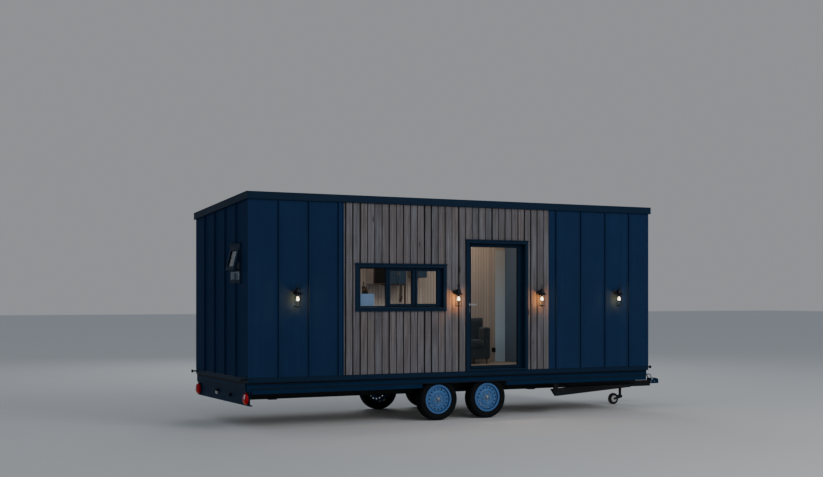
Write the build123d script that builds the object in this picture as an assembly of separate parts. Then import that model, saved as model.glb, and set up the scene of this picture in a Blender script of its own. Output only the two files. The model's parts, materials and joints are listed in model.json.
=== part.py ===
from build123d import *
import os

# Tiny house on a tandem-axle trailer. Millimetres.
# X runs from the rear end (tail lamps) forward to the coupling, Y from the door side to the far side,
# Z up from the ground. At the end every piece moves so that the origin is the middle of the footprint.

# House body
BODY_LENGTH = 7170
BODY_WIDTH = 2500
DECK_BOTTOM = 685
DECK_THICKNESS = 72
CORE_THICKNESS = 95
CLADDING_THICKNESS = 25
FASCIA_TOP_FRONT = 3452
FASCIA_TOP_BACK = 3288
FASCIA_OVERHANG = 30
FASCIA_DEPTH = 108
ROOF_LIP = 15
ROOF_THICKNESS = 85
ROOF_SEAM_PITCH = 478
ROOF_SEAM_HEIGHT = 12
ROOF_SEAM_WIDTH = 20

# Standing-seam metal and the timber panel on the door side
SEAM_HEIGHT = 25
SEAM_WIDTH = 12
REAR_SEAM_PITCH = 473
DRAWBAR_SEAM_FIRST = 130
DRAWBAR_SEAM_PITCH = 489
END_SEAM_PITCH = 500
BACK_SEAM_PITCH = 478
TIMBER_START = 1494
TIMBER_END = 5160

# Band window on the door side
WINDOW_START = 1694
WINDOW_END = 3248
WINDOW_BOTTOM = 1710
WINDOW_TOP = 2433
WINDOW_CASING = 55
CASING_PROUD = 20
FIXED_LIGHT_START = 1790
FIXED_LIGHT_END = 2236
SASH_STARTS = (2262, 2730)
SASH_ENDS = (2710, 3144)
LIGHT_BOTTOM = 1780
LIGHT_TOP = 2372
SASH_STILE = 30
SASH_DEPTH = 50
LIGHT_SETBACK = 50
PANE_THICKNESS = 24
PANE_REBATE = 8

# Entrance door, hinged on the drawbar side and opening inwards
DOOR_START = 3600
DOOR_END = 4743
DOOR_TOP = 2830
DOOR_CASING = 50
SILL_HEIGHT = 24
LEAF_GAP = 5
LEAF_THICKNESS = 44
LEAF_STILE = 70
LEAF_RAIL = 38
STOP_WIDTH = 10
STOP_DEPTH = 14
HINGE_RADIUS = 7.5
HINGE_PIN_RADIUS = 4
HINGE_LENGTH = 100
HINGE_PLATE = 2.5
HINGE_PLATE_WIDTH = 34
HINGE_OFFSET = 8
HINGE_CLEARANCE = 0.05
HINGE_INSET = 200
HANDLE_HEIGHT = 1053
HANDLE_LENGTH = 120
HANDLE_WIDTH = 20
HANDLE_THICKNESS = 9
HANDLE_NECK_RADIUS = 8
HANDLE_STANDOFF = 38
ROSE_RADIUS = 25
ROSE_THICKNESS = 8

# Top-hung window in the rear end
REAR_WINDOW_START = 280
REAR_WINDOW_END = 745
REAR_WINDOW_BOTTOM = 2130
REAR_WINDOW_TOP = 2710
REAR_WINDOW_CASING = 45
REAR_SASH_TILT = 14.3
REAR_SASH_THICKNESS = 45
REAR_SASH_STILE = 47
REAR_SASH_LENGTH = 355
REAR_TRANSOM_BOTTOM = 2300
REAR_TRANSOM_HEIGHT = 45
REAR_TRANSOM_DEPTH = 50
STAY_WIDTH = 14
STAY_THICKNESS = 4
STAY_DROP = 220
STAY_PAD = 40

# Wall lanterns
LANTERN_END_INSET = 700
LANTERN_PLACES = (720, 3400, 4940, BODY_LENGTH - LANTERN_END_INSET)
LANTERN_REACH = 120
LANTERN_BASE = 1782
LANTERN_BASE_RADIUS = 50
LANTERN_PLATE = 6
LANTERN_GLASS_RADIUS = 42
LANTERN_GLASS_HEIGHT = 180
LANTERN_BRIM_RADIUS = 82
LANTERN_BRIM_EDGE = 5
LANTERN_CAP_RADIUS = 42
LANTERN_CAP_HEIGHT = 97
LANTERN_CAP_RISE = 22
LANTERN_FINIAL_RADIUS = 9
LANTERN_BAR = 6
LANTERN_BARS = 4
LANTERN_LOOP_RADIUS = 26
LANTERN_LOOP_WIDTH = 7
LANTERN_LOOP_HEIGHT = 65
LANTERN_LOOP_FOOT = 7
LANTERN_ARM_HEIGHT = 40
LANTERN_ARM_RADIUS = 7
LANTERN_ROSE_RADIUS = 38
LANTERN_ROSE_THICKNESS = 10
BULB_RADIUS = 28
BULB_HEIGHT = 73
BULB_SOCKET_RADIUS = 13
BULB_SOCKET_HEIGHT = 40
SEAT = 0.3

# Trailer chassis
SIDE_RAIL_INSET = 50
SIDE_RAIL_BOTTOM = 517
SIDE_RAIL_STEP = 583
SIDE_RAIL_WEB = 6
SIDE_RAIL_FLANGE = 50
SIDE_RAIL_STEP_DEPTH = 6
REAR_RAIL_DEPTH = 50
WHEEL_CUT_START = 2860
WHEEL_CUT_END = 4375
BEAM_PLACE = 360
BEAM_WIDTH = 60
BEAM_BOTTOM = 420
BEAM_HEIGHT = 180
BEAM_WEB = 6
CROSS_MEMBER_WIDTH = 60
CROSS_MEMBERS_PER_END = 4
CROSS_MEMBER_CLEARANCE = 130
PAD_SIZE = 120
PAD_THICKNESS = 10
PAD_INSET = 500

# Drawbar, coupling and jockey wheel
ARM_HEIGHT = 120
ARM_WIDTH = 60
ARM_REACH = 1900
ARM_REAR_OFFSET = 60
ARM_END_CUT = 20
NOSE_REACH = 530
NOSE_OVERLAP = 160
DRAWBAR_REACH = 980
DRAWBAR_TUBE = 100
TUBE_INSET = 10
HANGER_LENGTH = 90
HANGER_THICKNESS = 20
COUPLING_LENGTH = 220
COUPLING_TOP = 450
COUPLING_HEIGHT = 100
COUPLING_WIDTH = 90
COUPLING_NOSE_DROP = 45
BALL_RADIUS = 25
BALL_CLEARANCE = 0.5
PIVOT_AHEAD = 45
PIVOT_HEIGHT = 425
PIVOT_EYE = 15
GRIP_HEIGHT = 520
GRIP_RADIUS = 11
COUPLING_PIN_RADIUS = 6
CHEEK_THICKNESS = 6
HANDLE_GAP = 5
JOCKEY_REACH = 340
JOCKEY_TUBE_RADIUS = 24
JOCKEY_WHEEL_RADIUS = 100
JOCKEY_WHEEL_WIDTH = 60
JOCKEY_HUB_RADIUS = 58
JOCKEY_HUB_RECESS = 4
JOCKEY_TRAIL = 150
JOCKEY_TOP = 640
JOCKEY_TUBE_WALL = 5
JOCKEY_ENGAGED = 160
JOCKEY_COLLAR = 8
JOCKEY_COLLAR_HEIGHT = 60
BRIDGE_WIDTH = 260
BRIDGE_LENGTH = 100
BRIDGE_THICKNESS = 12
CRANK_RISE = 25
CRANK_REACH = 130
CRANK_RADIUS = 7
CRANK_GRIP_RADIUS = 12
CRANK_GRIP_LENGTH = 80
FORK_RISE = 60
FORK_CROWN = 12
FORK_EYE = 16
JOCKEY_CHAMFER = 12
JOCKEY_PIN_RADIUS = 8
FORK_PIN_RADIUS = 12
FORK_PIN_DROP = 4

# Running gear
AXLE_PLACE = 3612
AXLE_SPACING = 884
TYRE_RADIUS = 330
TYRE_WIDTH = 200
TYRE_BULGE = 72
TYRE_SHOULDER = 18
TREAD_EDGE = 28
WHEEL_INSET = 85
RIM_RADIUS = 228
RIM_WIDTH = 156
RIM_SEAT_RADIUS = 204
RIM_WALL = 6
DISC_THICKNESS = 7
DISC_DEPTH = 16
DISC_SHOULDER_RADIUS = 178
VENTS = 16
VENT_CIRCLE = 157
VENT_RADIUS = 13
RIDGE_RADIUS = 106
RIDGE_HEIGHT = 10
HUB_FACE_RADIUS = 88
DRUM_RADIUS = 100
DRUM_LENGTH = 105
GREASE_CAP_RADIUS = 30
GREASE_CAP_REACH = 20
BACK_PLATE_RADIUS = 108
BACK_PLATE_THICKNESS = 4
AXLE_TUBE = 60
STUB_RADIUS = 20
STUB_CLEARANCE = 0.1
PIN_CLEARANCE = 0.05
SWING_ARM = 150
SWING_ARM_WIDTH = 28
SWING_EYE = 45
TUBE_EYE = 32

# Furniture that shows through the glass
PARTITION_PLACE = 5760
PARTITION_THICKNESS = 60
PARTITION_LENGTH = 880
CABINET_DEPTH = 320
CABINET_TOP = 2750
CABINETS = ((2960, 3215, 2150), (3255, 3580, 2150), (3780, 3980, 2265))
FRIDGE_START = 2250
FRIDGE_END = 2850
FRIDGE_DEPTH = 580
FRIDGE_TOP = 1980
CHAIR_START = 4300
CHAIR_END = 5100
CHAIR_DEPTH = 700
CHAIR_WALL_GAP = 30
CHAIR_ARM = 140
CHAIR_ARM_HEIGHT = 660
CHAIR_BACK_THICKNESS = 200
CHAIR_HEIGHT = 820
CHAIR_FOOT = 60
CHAIR_FOOT_RADIUS = 20
CHAIR_FOOT_INSET = 70
CHAIR_FRAME_TOP = 300
SEAT_TOP = 430
CUSHION_ROUND = 40

# Lights
LIGHT_BOARD_BOTTOM = 350
LIGHT_BOARD_TOP = 560
LIGHT_BOARD_START = 30
LIGHT_BOARD_DEPTH = 40
LIGHT_BOARD_WALL = 4
LIGHT_BOARD_LIP = 14
TAIL_LAMP_RADIUS = 83
TAIL_LAMP_DEPTH = 62
TAIL_LAMP_INSET = 20
MARKER_HEIGHT = 735
MARKER_REACH = 90
MARKER_HEAD = 20
MARKER_STALK_RADIUS = 12
MARKER_RADIUS = 25

# Worked out from the sizes above
WALL_BASE = DECK_BOTTOM + DECK_THICKNESS
WALL_INSIDE = CLADDING_THICKNESS + CORE_THICKNESS
FAR_INSIDE = BODY_WIDTH - WALL_INSIDE
ROOF_RUN = BODY_WIDTH + 2 * FASCIA_OVERHANG
ROOF_SLOPE = (FASCIA_TOP_FRONT - FASCIA_TOP_BACK) / ROOF_RUN
WALL_DROP = ROOF_LIP + ROOF_THICKNESS
CENTRE_LINE = BODY_WIDTH / 2
ARM_REAR = BODY_LENGTH - ARM_REACH
DRAWBAR_NOSE = BODY_LENGTH + NOSE_REACH
DRAWBAR_END = BODY_LENGTH + DRAWBAR_REACH
JOCKEY_PLACE = BODY_LENGTH + JOCKEY_REACH
JOCKEY_AXLE = JOCKEY_PLACE - JOCKEY_TRAIL
BALL_PLACE = DRAWBAR_END + COUPLING_LENGTH - COUPLING_WIDTH / 2
PIVOT_PLACE = DRAWBAR_END + PIVOT_AHEAD
UPRIGHT = (Align.CENTER, Align.CENTER, Align.MIN)


def block(x0, x1, y0, y1, z0, z1):
    """A straight block between two corners."""
    return Pos((x0 + x1) / 2, (y0 + y1) / 2, (z0 + z1) / 2) * Box(x1 - x0, y1 - y0, z1 - z0)


def rod(start, end, radius):
    """A round bar from one point to another."""
    line = Edge.make_line(start, end)
    return sweep(Plane(origin=start, z_dir=line % 0) * Circle(radius), path=line)


def side_view(y):
    """A plane seen from the door side, with X to the right and Z up."""
    return Plane(origin=(0, y, 0), x_dir=(1, 0, 0), z_dir=(0, -1, 0))


def bodies(shape):
    """A shape as its separate solids."""
    return shape.solids()


def far_side(shapes):
    """The same pieces on the far side of the centre line."""
    middle = Plane(origin=(0, CENTRE_LINE, 0), z_dir=(0, 1, 0))
    return [mirror(shape, about=middle) for shape in shapes]


def fascia_top(y):
    """Height of the fascia's top edge, which falls from the door side to the far side."""
    return FASCIA_TOP_FRONT - ROOF_SLOPE * (y + FASCIA_OVERHANG)


def roof_prism(x0, x1, y0, y1, z_low, drop):
    """A solid along X with a flat base whose top follows the roof, a drop below the fascia's top."""
    corners = [(y0, z_low), (y1, z_low), (y1, fascia_top(y1) - drop), (y0, fascia_top(y0) - drop)]
    profile = Plane.YZ * make_face(Polyline(*corners, close=True))
    return Pos(x0, 0, 0) * extrude(profile, x1 - x0, dir=(1, 0, 0))


def roof_layer(x0, x1, y0, y1, drop_top, drop_bottom):
    """A sloping layer between two depths below the fascia's top."""
    corners = [
        (y0, fascia_top(y0) - drop_bottom),
        (y1, fascia_top(y1) - drop_bottom),
        (y1, fascia_top(y1) - drop_top),
        (y0, fascia_top(y0) - drop_top),
    ]
    profile = Plane.YZ * make_face(Polyline(*corners, close=True))
    return Pos(x0, 0, 0) * extrude(profile, x1 - x0, dir=(1, 0, 0))


def ring(x0, x1, y0, y1, z0, z1, border, bottom=None):
    """A four-sided frame in a wall along X, as thick as y0 to y1."""
    low = border if bottom is None else bottom
    outer = block(x0, x1, y0, y1, z0, z1)
    return outer - block(x0 + border, x1 - border, y0 - 1, y1 + 1, z0 + low, z1 - border)


def floor_deck():
    return block(CLADDING_THICKNESS, BODY_LENGTH - CLADDING_THICKNESS, CLADDING_THICKNESS,
                 BODY_WIDTH - CLADDING_THICKNESS, DECK_BOTTOM, WALL_BASE)


def base_flashing():
    """The folded metal band round the foot of the walls."""
    outer = block(0, BODY_LENGTH, 0, BODY_WIDTH, DECK_BOTTOM, WALL_BASE)
    inner = block(CLADDING_THICKNESS, BODY_LENGTH - CLADDING_THICKNESS, CLADDING_THICKNESS,
                  BODY_WIDTH - CLADDING_THICKNESS, DECK_BOTTOM - 1, WALL_BASE + 1)
    return outer - inner


def core(x0, x1, y0, y1):
    return roof_prism(x0, x1, y0, y1, WALL_BASE, WALL_DROP)


def front_walls():
    """The framed wall on the door side, split beside and over the door."""
    y0, y1 = CLADDING_THICKNESS, WALL_INSIDE
    rear = core(CLADDING_THICKNESS, DOOR_START, y0, y1)
    rear -= block(WINDOW_START, WINDOW_END, y0 - 1, y1 + 1, WINDOW_BOTTOM, WINDOW_TOP)
    over = roof_prism(DOOR_START, DOOR_END, y0, y1, DOOR_TOP, WALL_DROP)
    ahead = core(DOOR_END, BODY_LENGTH - CLADDING_THICKNESS, y0, y1)
    return rear, over, ahead


def back_wall():
    return core(CLADDING_THICKNESS, BODY_LENGTH - CLADDING_THICKNESS,
                FAR_INSIDE, BODY_WIDTH - CLADDING_THICKNESS)


def rear_end_wall():
    wall = core(CLADDING_THICKNESS, WALL_INSIDE, WALL_INSIDE, FAR_INSIDE)
    return wall - rear_window_hole()


def rear_window_hole():
    return block(-SEAM_HEIGHT - 1, WALL_INSIDE + 1, REAR_WINDOW_START, REAR_WINDOW_END,
                 REAR_WINDOW_BOTTOM, REAR_WINDOW_TOP)


def drawbar_end_wall():
    return core(BODY_LENGTH - WALL_INSIDE, BODY_LENGTH - CLADDING_THICKNESS, WALL_INSIDE, FAR_INSIDE)


def roof():
    """The roof slab with low standing seams along its fall, below the fascia's lip."""
    slab = roof_layer(0, BODY_LENGTH, 0, BODY_WIDTH, ROOF_LIP, WALL_DROP)
    half = ROOF_SEAM_WIDTH / 2
    for x in seam_places(ROOF_SEAM_PITCH, ROOF_SEAM_PITCH, BODY_LENGTH):
        slab += roof_layer(x - half, x + half, 0, BODY_WIDTH, ROOF_LIP - ROOF_SEAM_HEIGHT, ROOF_LIP + 1)
    return slab


def roof_fascia():
    edge = FASCIA_OVERHANG
    outer = roof_layer(-edge, BODY_LENGTH + edge, -edge, BODY_WIDTH + edge, 0, FASCIA_DEPTH)
    return outer - roof_layer(0, BODY_LENGTH, 0, BODY_WIDTH, -1, FASCIA_DEPTH + 1)


def seam_places(first, pitch, end):
    """Places of the standing seams, a full seam's width short of the end."""
    places = []
    place = first
    while place < end - SEAM_WIDTH * 2:
        places.append(place)
        place += pitch
    return places


def seam_on_long_wall(x, outward, y_face):
    """One standing seam on a wall along X, from the flashing up to the fascia."""
    y0, y1 = sorted((y_face, y_face + outward * SEAM_HEIGHT))
    return roof_prism(x - SEAM_WIDTH / 2, x + SEAM_WIDTH / 2, y0, y1, WALL_BASE, FASCIA_DEPTH)


def seam_on_end_wall(y, x0, x1):
    return roof_prism(x0, x1, y - SEAM_WIDTH / 2, y + SEAM_WIDTH / 2, WALL_BASE, FASCIA_DEPTH)


def front_metal_cladding():
    """Standing-seam sheet at both ends of the door side."""
    rear = roof_prism(0, TIMBER_START, 0, CLADDING_THICKNESS, WALL_BASE, WALL_DROP)
    for x in seam_places(REAR_SEAM_PITCH, REAR_SEAM_PITCH, TIMBER_START):
        rear += seam_on_long_wall(x, -1, 0)
    ahead = roof_prism(TIMBER_END, BODY_LENGTH, 0, CLADDING_THICKNESS, WALL_BASE, WALL_DROP)
    for x in seam_places(TIMBER_END + DRAWBAR_SEAM_FIRST, DRAWBAR_SEAM_PITCH, BODY_LENGTH):
        ahead += seam_on_long_wall(x, -1, 0)
    return bodies(rear) + bodies(ahead)


def timber_cladding():
    panel = roof_prism(TIMBER_START, TIMBER_END, 0, CLADDING_THICKNESS, WALL_BASE, WALL_DROP)
    panel -= block(WINDOW_START, WINDOW_END, -1, CLADDING_THICKNESS + 1, WINDOW_BOTTOM, WINDOW_TOP)
    panel -= block(DOOR_START, DOOR_END, -1, CLADDING_THICKNESS + 1, WALL_BASE - 1, DOOR_TOP)
    return bodies(panel)


def back_cladding():
    y0 = BODY_WIDTH - CLADDING_THICKNESS
    sheet = roof_prism(0, BODY_LENGTH, y0, BODY_WIDTH, WALL_BASE, WALL_DROP)
    for x in seam_places(BACK_SEAM_PITCH, BACK_SEAM_PITCH, BODY_LENGTH):
        sheet += seam_on_long_wall(x, 1, BODY_WIDTH)
    return sheet


def rear_end_cladding():
    y0, y1 = CLADDING_THICKNESS, BODY_WIDTH - CLADDING_THICKNESS
    sheet = roof_prism(0, CLADDING_THICKNESS, y0, y1, WALL_BASE, WALL_DROP)
    for y in seam_places(END_SEAM_PITCH, END_SEAM_PITCH, BODY_WIDTH):
        sheet += seam_on_end_wall(y, -SEAM_HEIGHT, 0)
    return sheet - rear_window_hole()


def drawbar_end_cladding():
    y0, y1 = CLADDING_THICKNESS, BODY_WIDTH - CLADDING_THICKNESS
    sheet = roof_prism(BODY_LENGTH - CLADDING_THICKNESS, BODY_LENGTH, y0, y1, WALL_BASE, WALL_DROP)
    for y in seam_places(END_SEAM_PITCH, END_SEAM_PITCH, BODY_WIDTH):
        sheet += seam_on_end_wall(y, BODY_LENGTH, BODY_LENGTH + SEAM_HEIGHT)
    return sheet


def window_frame():
    """The band window's deep metal casing with its fixed frame and mullions."""
    frame = ring(WINDOW_START, WINDOW_END, -CASING_PROUD, WALL_INSIDE,
                 WINDOW_BOTTOM, WINDOW_TOP, WINDOW_CASING)
    y0 = LIGHT_SETBACK
    y1 = y0 + SASH_DEPTH
    middle = block(WINDOW_START + WINDOW_CASING, WINDOW_END - WINDOW_CASING, y0, y1,
                   WINDOW_BOTTOM + WINDOW_CASING, WINDOW_TOP - WINDOW_CASING)
    lights = list(zip((FIXED_LIGHT_START, *SASH_STARTS), (FIXED_LIGHT_END, *SASH_ENDS)))
    for x0, x1 in lights:
        middle -= block(x0, x1, y0 - 1, y1 + 1, LIGHT_BOTTOM, LIGHT_TOP)
    frame += middle
    return frame - pane(FIXED_LIGHT_START, FIXED_LIGHT_END, LIGHT_BOTTOM, LIGHT_TOP, y0)


def pane(x0, x1, z0, z1, y_frame):
    """A glass pane let into the frame round its opening."""
    y0 = y_frame + (SASH_DEPTH - PANE_THICKNESS) / 2
    edge = PANE_REBATE
    return block(x0 - edge, x1 + edge, y0, y0 + PANE_THICKNESS, z0 - edge, z1 + edge)


def sash_pane(x0, x1):
    edge = SASH_STILE
    return pane(x0 + edge, x1 - edge, LIGHT_BOTTOM + edge, LIGHT_TOP - edge, LIGHT_SETBACK)


def window_sashes():
    sashes = []
    for x0, x1 in zip(SASH_STARTS, SASH_ENDS):
        y0 = LIGHT_SETBACK
        sash = ring(x0, x1, y0, y0 + SASH_DEPTH, LIGHT_BOTTOM, LIGHT_TOP, SASH_STILE)
        sashes += bodies(sash - sash_pane(x0, x1))
    return sashes


def window_glass():
    panes = [pane(FIXED_LIGHT_START, FIXED_LIGHT_END, LIGHT_BOTTOM, LIGHT_TOP, LIGHT_SETBACK)]
    return panes + [sash_pane(x0, x1) for x0, x1 in zip(SASH_STARTS, SASH_ENDS)]


def rear_window_frame():
    """The casing with its transom, which the sash laps from outside, over a fixed lower light."""
    casing = REAR_WINDOW_CASING
    y0, y1 = REAR_WINDOW_START + casing, REAR_WINDOW_END - casing
    frame = block(-CASING_PROUD, WALL_INSIDE, REAR_WINDOW_START, REAR_WINDOW_END,
                  REAR_WINDOW_BOTTOM, REAR_WINDOW_TOP)
    frame -= block(-CASING_PROUD - 1, WALL_INSIDE + 1, y0, y1,
                   REAR_WINDOW_BOTTOM + casing, REAR_WINDOW_TOP - casing)
    x0 = REAR_SASH_THICKNESS - CASING_PROUD
    frame += block(x0, x0 + REAR_TRANSOM_DEPTH, y0, y1,
                   REAR_TRANSOM_BOTTOM, REAR_TRANSOM_BOTTOM + REAR_TRANSOM_HEIGHT)
    return frame - rear_fixed_pane()


def rear_fixed_pane():
    """The glass of the lower light, let into the casing and the transom."""
    x0 = REAR_SASH_THICKNESS - CASING_PROUD + (REAR_TRANSOM_DEPTH - PANE_THICKNESS) / 2
    inset = REAR_WINDOW_CASING - PANE_REBATE
    return block(x0, x0 + PANE_THICKNESS, REAR_WINDOW_START + inset, REAR_WINDOW_END - inset,
                 REAR_WINDOW_BOTTOM + inset, REAR_TRANSOM_BOTTOM + PANE_REBATE)


def rear_sash_place():
    """Swings the sash out at the foot about its top outer edge."""
    top = REAR_WINDOW_TOP - REAR_WINDOW_CASING - SEAT
    return Pos(-CASING_PROUD, 0, top) * Rot(0, REAR_SASH_TILT, 0)


def rear_sash_box(inset, x0, x1):
    """A block in the sash's own plane, hung from its top edge."""
    casing = REAR_WINDOW_CASING + SEAT
    return block(x0, x1, REAR_WINDOW_START + casing + inset, REAR_WINDOW_END - casing - inset,
                 inset - REAR_SASH_LENGTH, -inset)


def rear_stay(y0):
    """A flat stay from the sash's inner face up to a pad on the frame's jamb."""
    foot = rear_sash_place() * Pos(REAR_SASH_THICKNESS - STAY_WIDTH / 2, 0, -STAY_DROP)
    x0, z0 = foot.position.X, foot.position.Z
    x1, z1 = WALL_INSIDE - STAY_PAD, z0 + STAY_PAD
    bar = make_hull([
        *(Pos(x0, z0) * Circle(STAY_WIDTH / 2)).edges(),
        *(Pos(x1, z1) * Circle(STAY_WIDTH / 2)).edges(),
    ])
    return extrude(side_view(y0) * bar, -STAY_THICKNESS)


def rear_window_sash():
    """The top-hung sash, swung out and held by a stay at each side."""
    sash = rear_sash_box(0, 0, REAR_SASH_THICKNESS)
    sash -= rear_sash_box(REAR_SASH_STILE, -1, REAR_SASH_THICKNESS + 1)
    sash = rear_sash_place() * (sash - rear_pane())
    inner_start = REAR_WINDOW_START + REAR_WINDOW_CASING + SEAT
    inner_end = REAR_WINDOW_END - REAR_WINDOW_CASING - SEAT
    return sash + rear_stay(inner_start) + rear_stay(inner_end - STAY_THICKNESS)


def rear_pane():
    x0 = (REAR_SASH_THICKNESS - PANE_THICKNESS) / 2
    return rear_sash_box(REAR_SASH_STILE - PANE_REBATE, x0, x0 + PANE_THICKNESS)


def rear_window_glass():
    return [rear_sash_place() * rear_pane(), rear_fixed_pane()]


LEAF_INSIDE = WALL_INSIDE
LEAF_OUTSIDE = LEAF_INSIDE - LEAF_THICKNESS
LEAF_START = DOOR_START + DOOR_CASING + LEAF_GAP
LEAF_END = DOOR_END - DOOR_CASING - LEAF_GAP
LEAF_BOTTOM = WALL_BASE + SILL_HEIGHT + LEAF_GAP
LEAF_TOP = DOOR_TOP - DOOR_CASING - LEAF_GAP
HINGE_X = LEAF_END + LEAF_GAP / 2
HINGE_Y = LEAF_INSIDE + HINGE_OFFSET
HINGE_HEIGHTS = (LEAF_BOTTOM + HINGE_INSET, (LEAF_BOTTOM + LEAF_TOP) / 2, LEAF_TOP - HINGE_INSET)
HANDLE_X = LEAF_START + LEAF_STILE / 2


def knuckle(z0, z1, radius):
    return Pos(HINGE_X, HINGE_Y, z0) * Cylinder(radius, z1 - z0, align=UPRIGHT)


def hinge_plate(direction, z0, z1):
    """A hinge's flat flap, lying on the inner face of the leaf or the casing."""
    near = HINGE_X + direction * LEAF_GAP / 2
    x0, x1 = sorted((near, near + direction * HINGE_PLATE_WIDTH))
    flap = block(x0, x1, LEAF_INSIDE, LEAF_INSIDE + HINGE_PLATE, z0, z1)
    neck_x0, neck_x1 = sorted((near, HINGE_X))
    neck = block(neck_x0, neck_x1, LEAF_INSIDE + SEAT, LEAF_INSIDE + HINGE_PLATE, z0, z1)
    return flap + neck


def door_casing():
    """The metal door frame with its sill, its stop and the lower halves of the hinges."""
    frame = ring(DOOR_START, DOOR_END, -CASING_PROUD, WALL_INSIDE,
                 WALL_BASE, DOOR_TOP, DOOR_CASING, SILL_HEIGHT)
    stop_y1 = LEAF_OUTSIDE - LEAF_GAP
    frame += ring(DOOR_START + DOOR_CASING, DOOR_END - DOOR_CASING, stop_y1 - STOP_DEPTH, stop_y1,
                  WALL_BASE + SILL_HEIGHT, DOOR_TOP - DOOR_CASING, STOP_WIDTH)
    for z in HINGE_HEIGHTS:
        low = z - HINGE_LENGTH / 2
        frame += hinge_plate(1, low, z)
        frame += knuckle(low, z, HINGE_RADIUS)
        frame += knuckle(z, z + HINGE_LENGTH / 2, HINGE_PIN_RADIUS)
    return frame


def door_glass():
    y0 = (LEAF_INSIDE + LEAF_OUTSIDE - PANE_THICKNESS) / 2
    edge = PANE_REBATE
    return block(LEAF_START + LEAF_STILE - edge, LEAF_END - LEAF_STILE + edge, y0, y0 + PANE_THICKNESS,
                 LEAF_BOTTOM + LEAF_RAIL - edge, LEAF_TOP - LEAF_RAIL + edge)


def door_leaf():
    """The glazed leaf's metal frame with the upper halves of the hinges."""
    leaf = block(LEAF_START, LEAF_END, LEAF_OUTSIDE, LEAF_INSIDE, LEAF_BOTTOM, LEAF_TOP)
    leaf -= block(LEAF_START + LEAF_STILE, LEAF_END - LEAF_STILE, LEAF_OUTSIDE - 1, LEAF_INSIDE + 1,
                  LEAF_BOTTOM + LEAF_RAIL, LEAF_TOP - LEAF_RAIL)
    leaf -= door_glass()
    for z in HINGE_HEIGHTS:
        top = z + HINGE_LENGTH / 2
        leaf += hinge_plate(-1, z + SEAT, top)
        leaf += knuckle(z + SEAT, top, HINGE_RADIUS)
        leaf -= knuckle(z, top + 1, HINGE_PIN_RADIUS + HINGE_CLEARANCE)
    return leaf


def lever(face_y, outward):
    """One flat lever handle on its round rose, standing off the leaf's face."""
    z = WALL_BASE + HANDLE_HEIGHT
    rose_plane = Plane(origin=(HANDLE_X, face_y, z), z_dir=(0, outward, 0))
    rose = extrude(rose_plane * Circle(ROSE_RADIUS), ROSE_THICKNESS)
    neck = extrude(rose_plane * Circle(HANDLE_NECK_RADIUS), HANDLE_STANDOFF)
    grip_y = face_y + outward * (HANDLE_STANDOFF - HANDLE_THICKNESS)
    grip_plane = Plane(origin=(HANDLE_X + HANDLE_LENGTH / 2, grip_y, z),
                       x_dir=(1, 0, 0), z_dir=(0, outward, 0))
    grip = extrude(grip_plane * SlotOverall(HANDLE_LENGTH + HANDLE_WIDTH, HANDLE_WIDTH), HANDLE_THICKNESS)
    return rose + neck + grip


def door_handles():
    return bodies(lever(LEAF_OUTSIDE, -1)) + bodies(lever(LEAF_INSIDE, 1))


def lantern_brim():
    return LANTERN_BASE + LANTERN_PLATE + LANTERN_GLASS_HEIGHT


def lantern_loop(crown):
    """The drop-shaped hanging loop on top of the cap."""
    width = LANTERN_LOOP_WIDTH
    middle = crown + LANTERN_LOOP_HEIGHT - LANTERN_LOOP_RADIUS
    foot = crown + LANTERN_LOOP_FOOT - 1
    outer = drop_outline(foot, LANTERN_LOOP_FOOT, middle, LANTERN_LOOP_RADIUS)
    inner = drop_outline(foot + width, LANTERN_LOOP_FOOT / 3, middle, LANTERN_LOOP_RADIUS - width)
    return extrude(side_view(0) * (outer - inner), width / 2, both=True)


def drop_outline(low, low_radius, high, high_radius):
    return make_hull([
        *(Pos(0, low) * Circle(low_radius)).edges(),
        *(Pos(0, high) * Circle(high_radius)).edges(),
    ])


def lantern_metal(x):
    """One lantern's base plate, cage bars, brimmed cap, hanging loop and wall arm."""
    brim = lantern_brim()
    crown = brim + LANTERN_CAP_HEIGHT
    plate = Pos(0, 0, LANTERN_BASE) * Cylinder(LANTERN_BASE_RADIUS, LANTERN_PLATE, align=UPRIGHT)
    outline = [
        (0, brim),
        (LANTERN_BRIM_RADIUS, brim),
        (LANTERN_BRIM_RADIUS, brim + LANTERN_BRIM_EDGE),
        (LANTERN_CAP_RADIUS, brim + LANTERN_CAP_RISE),
        (LANTERN_CAP_RADIUS * 0.96, brim + LANTERN_CAP_HEIGHT * 0.6),
        (LANTERN_CAP_RADIUS * 0.7, brim + LANTERN_CAP_HEIGHT * 0.87),
        (LANTERN_FINIAL_RADIUS, crown),
        (0, crown),
    ]
    piece = plate + revolve(Plane.XZ * make_face(Polyline(*outline, close=True)), Axis.Z)
    bar_radius = LANTERN_GLASS_RADIUS + LANTERN_BAR / 2 + 1
    bar = Pos(bar_radius, 0, LANTERN_BASE) * Box(
        LANTERN_BAR, LANTERN_BAR, LANTERN_GLASS_HEIGHT + 2 * LANTERN_PLATE, align=UPRIGHT)
    for turn in range(LANTERN_BARS):
        piece += Rot(0, 0, 360 * (turn + 0.5) / LANTERN_BARS) * bar
    piece += lantern_loop(crown)
    arm_z = brim + LANTERN_ARM_HEIGHT
    wall = LANTERN_REACH - LANTERN_ROSE_THICKNESS / 2
    piece += rod((0, 0, arm_z), (0, wall, arm_z), LANTERN_ARM_RADIUS)
    rose_plane = Plane(origin=(0, LANTERN_REACH, arm_z), z_dir=(0, -1, 0))
    piece += extrude(rose_plane * Circle(LANTERN_ROSE_RADIUS), LANTERN_ROSE_THICKNESS, taper=20)
    return Pos(x, -LANTERN_REACH, 0) * piece


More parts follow.
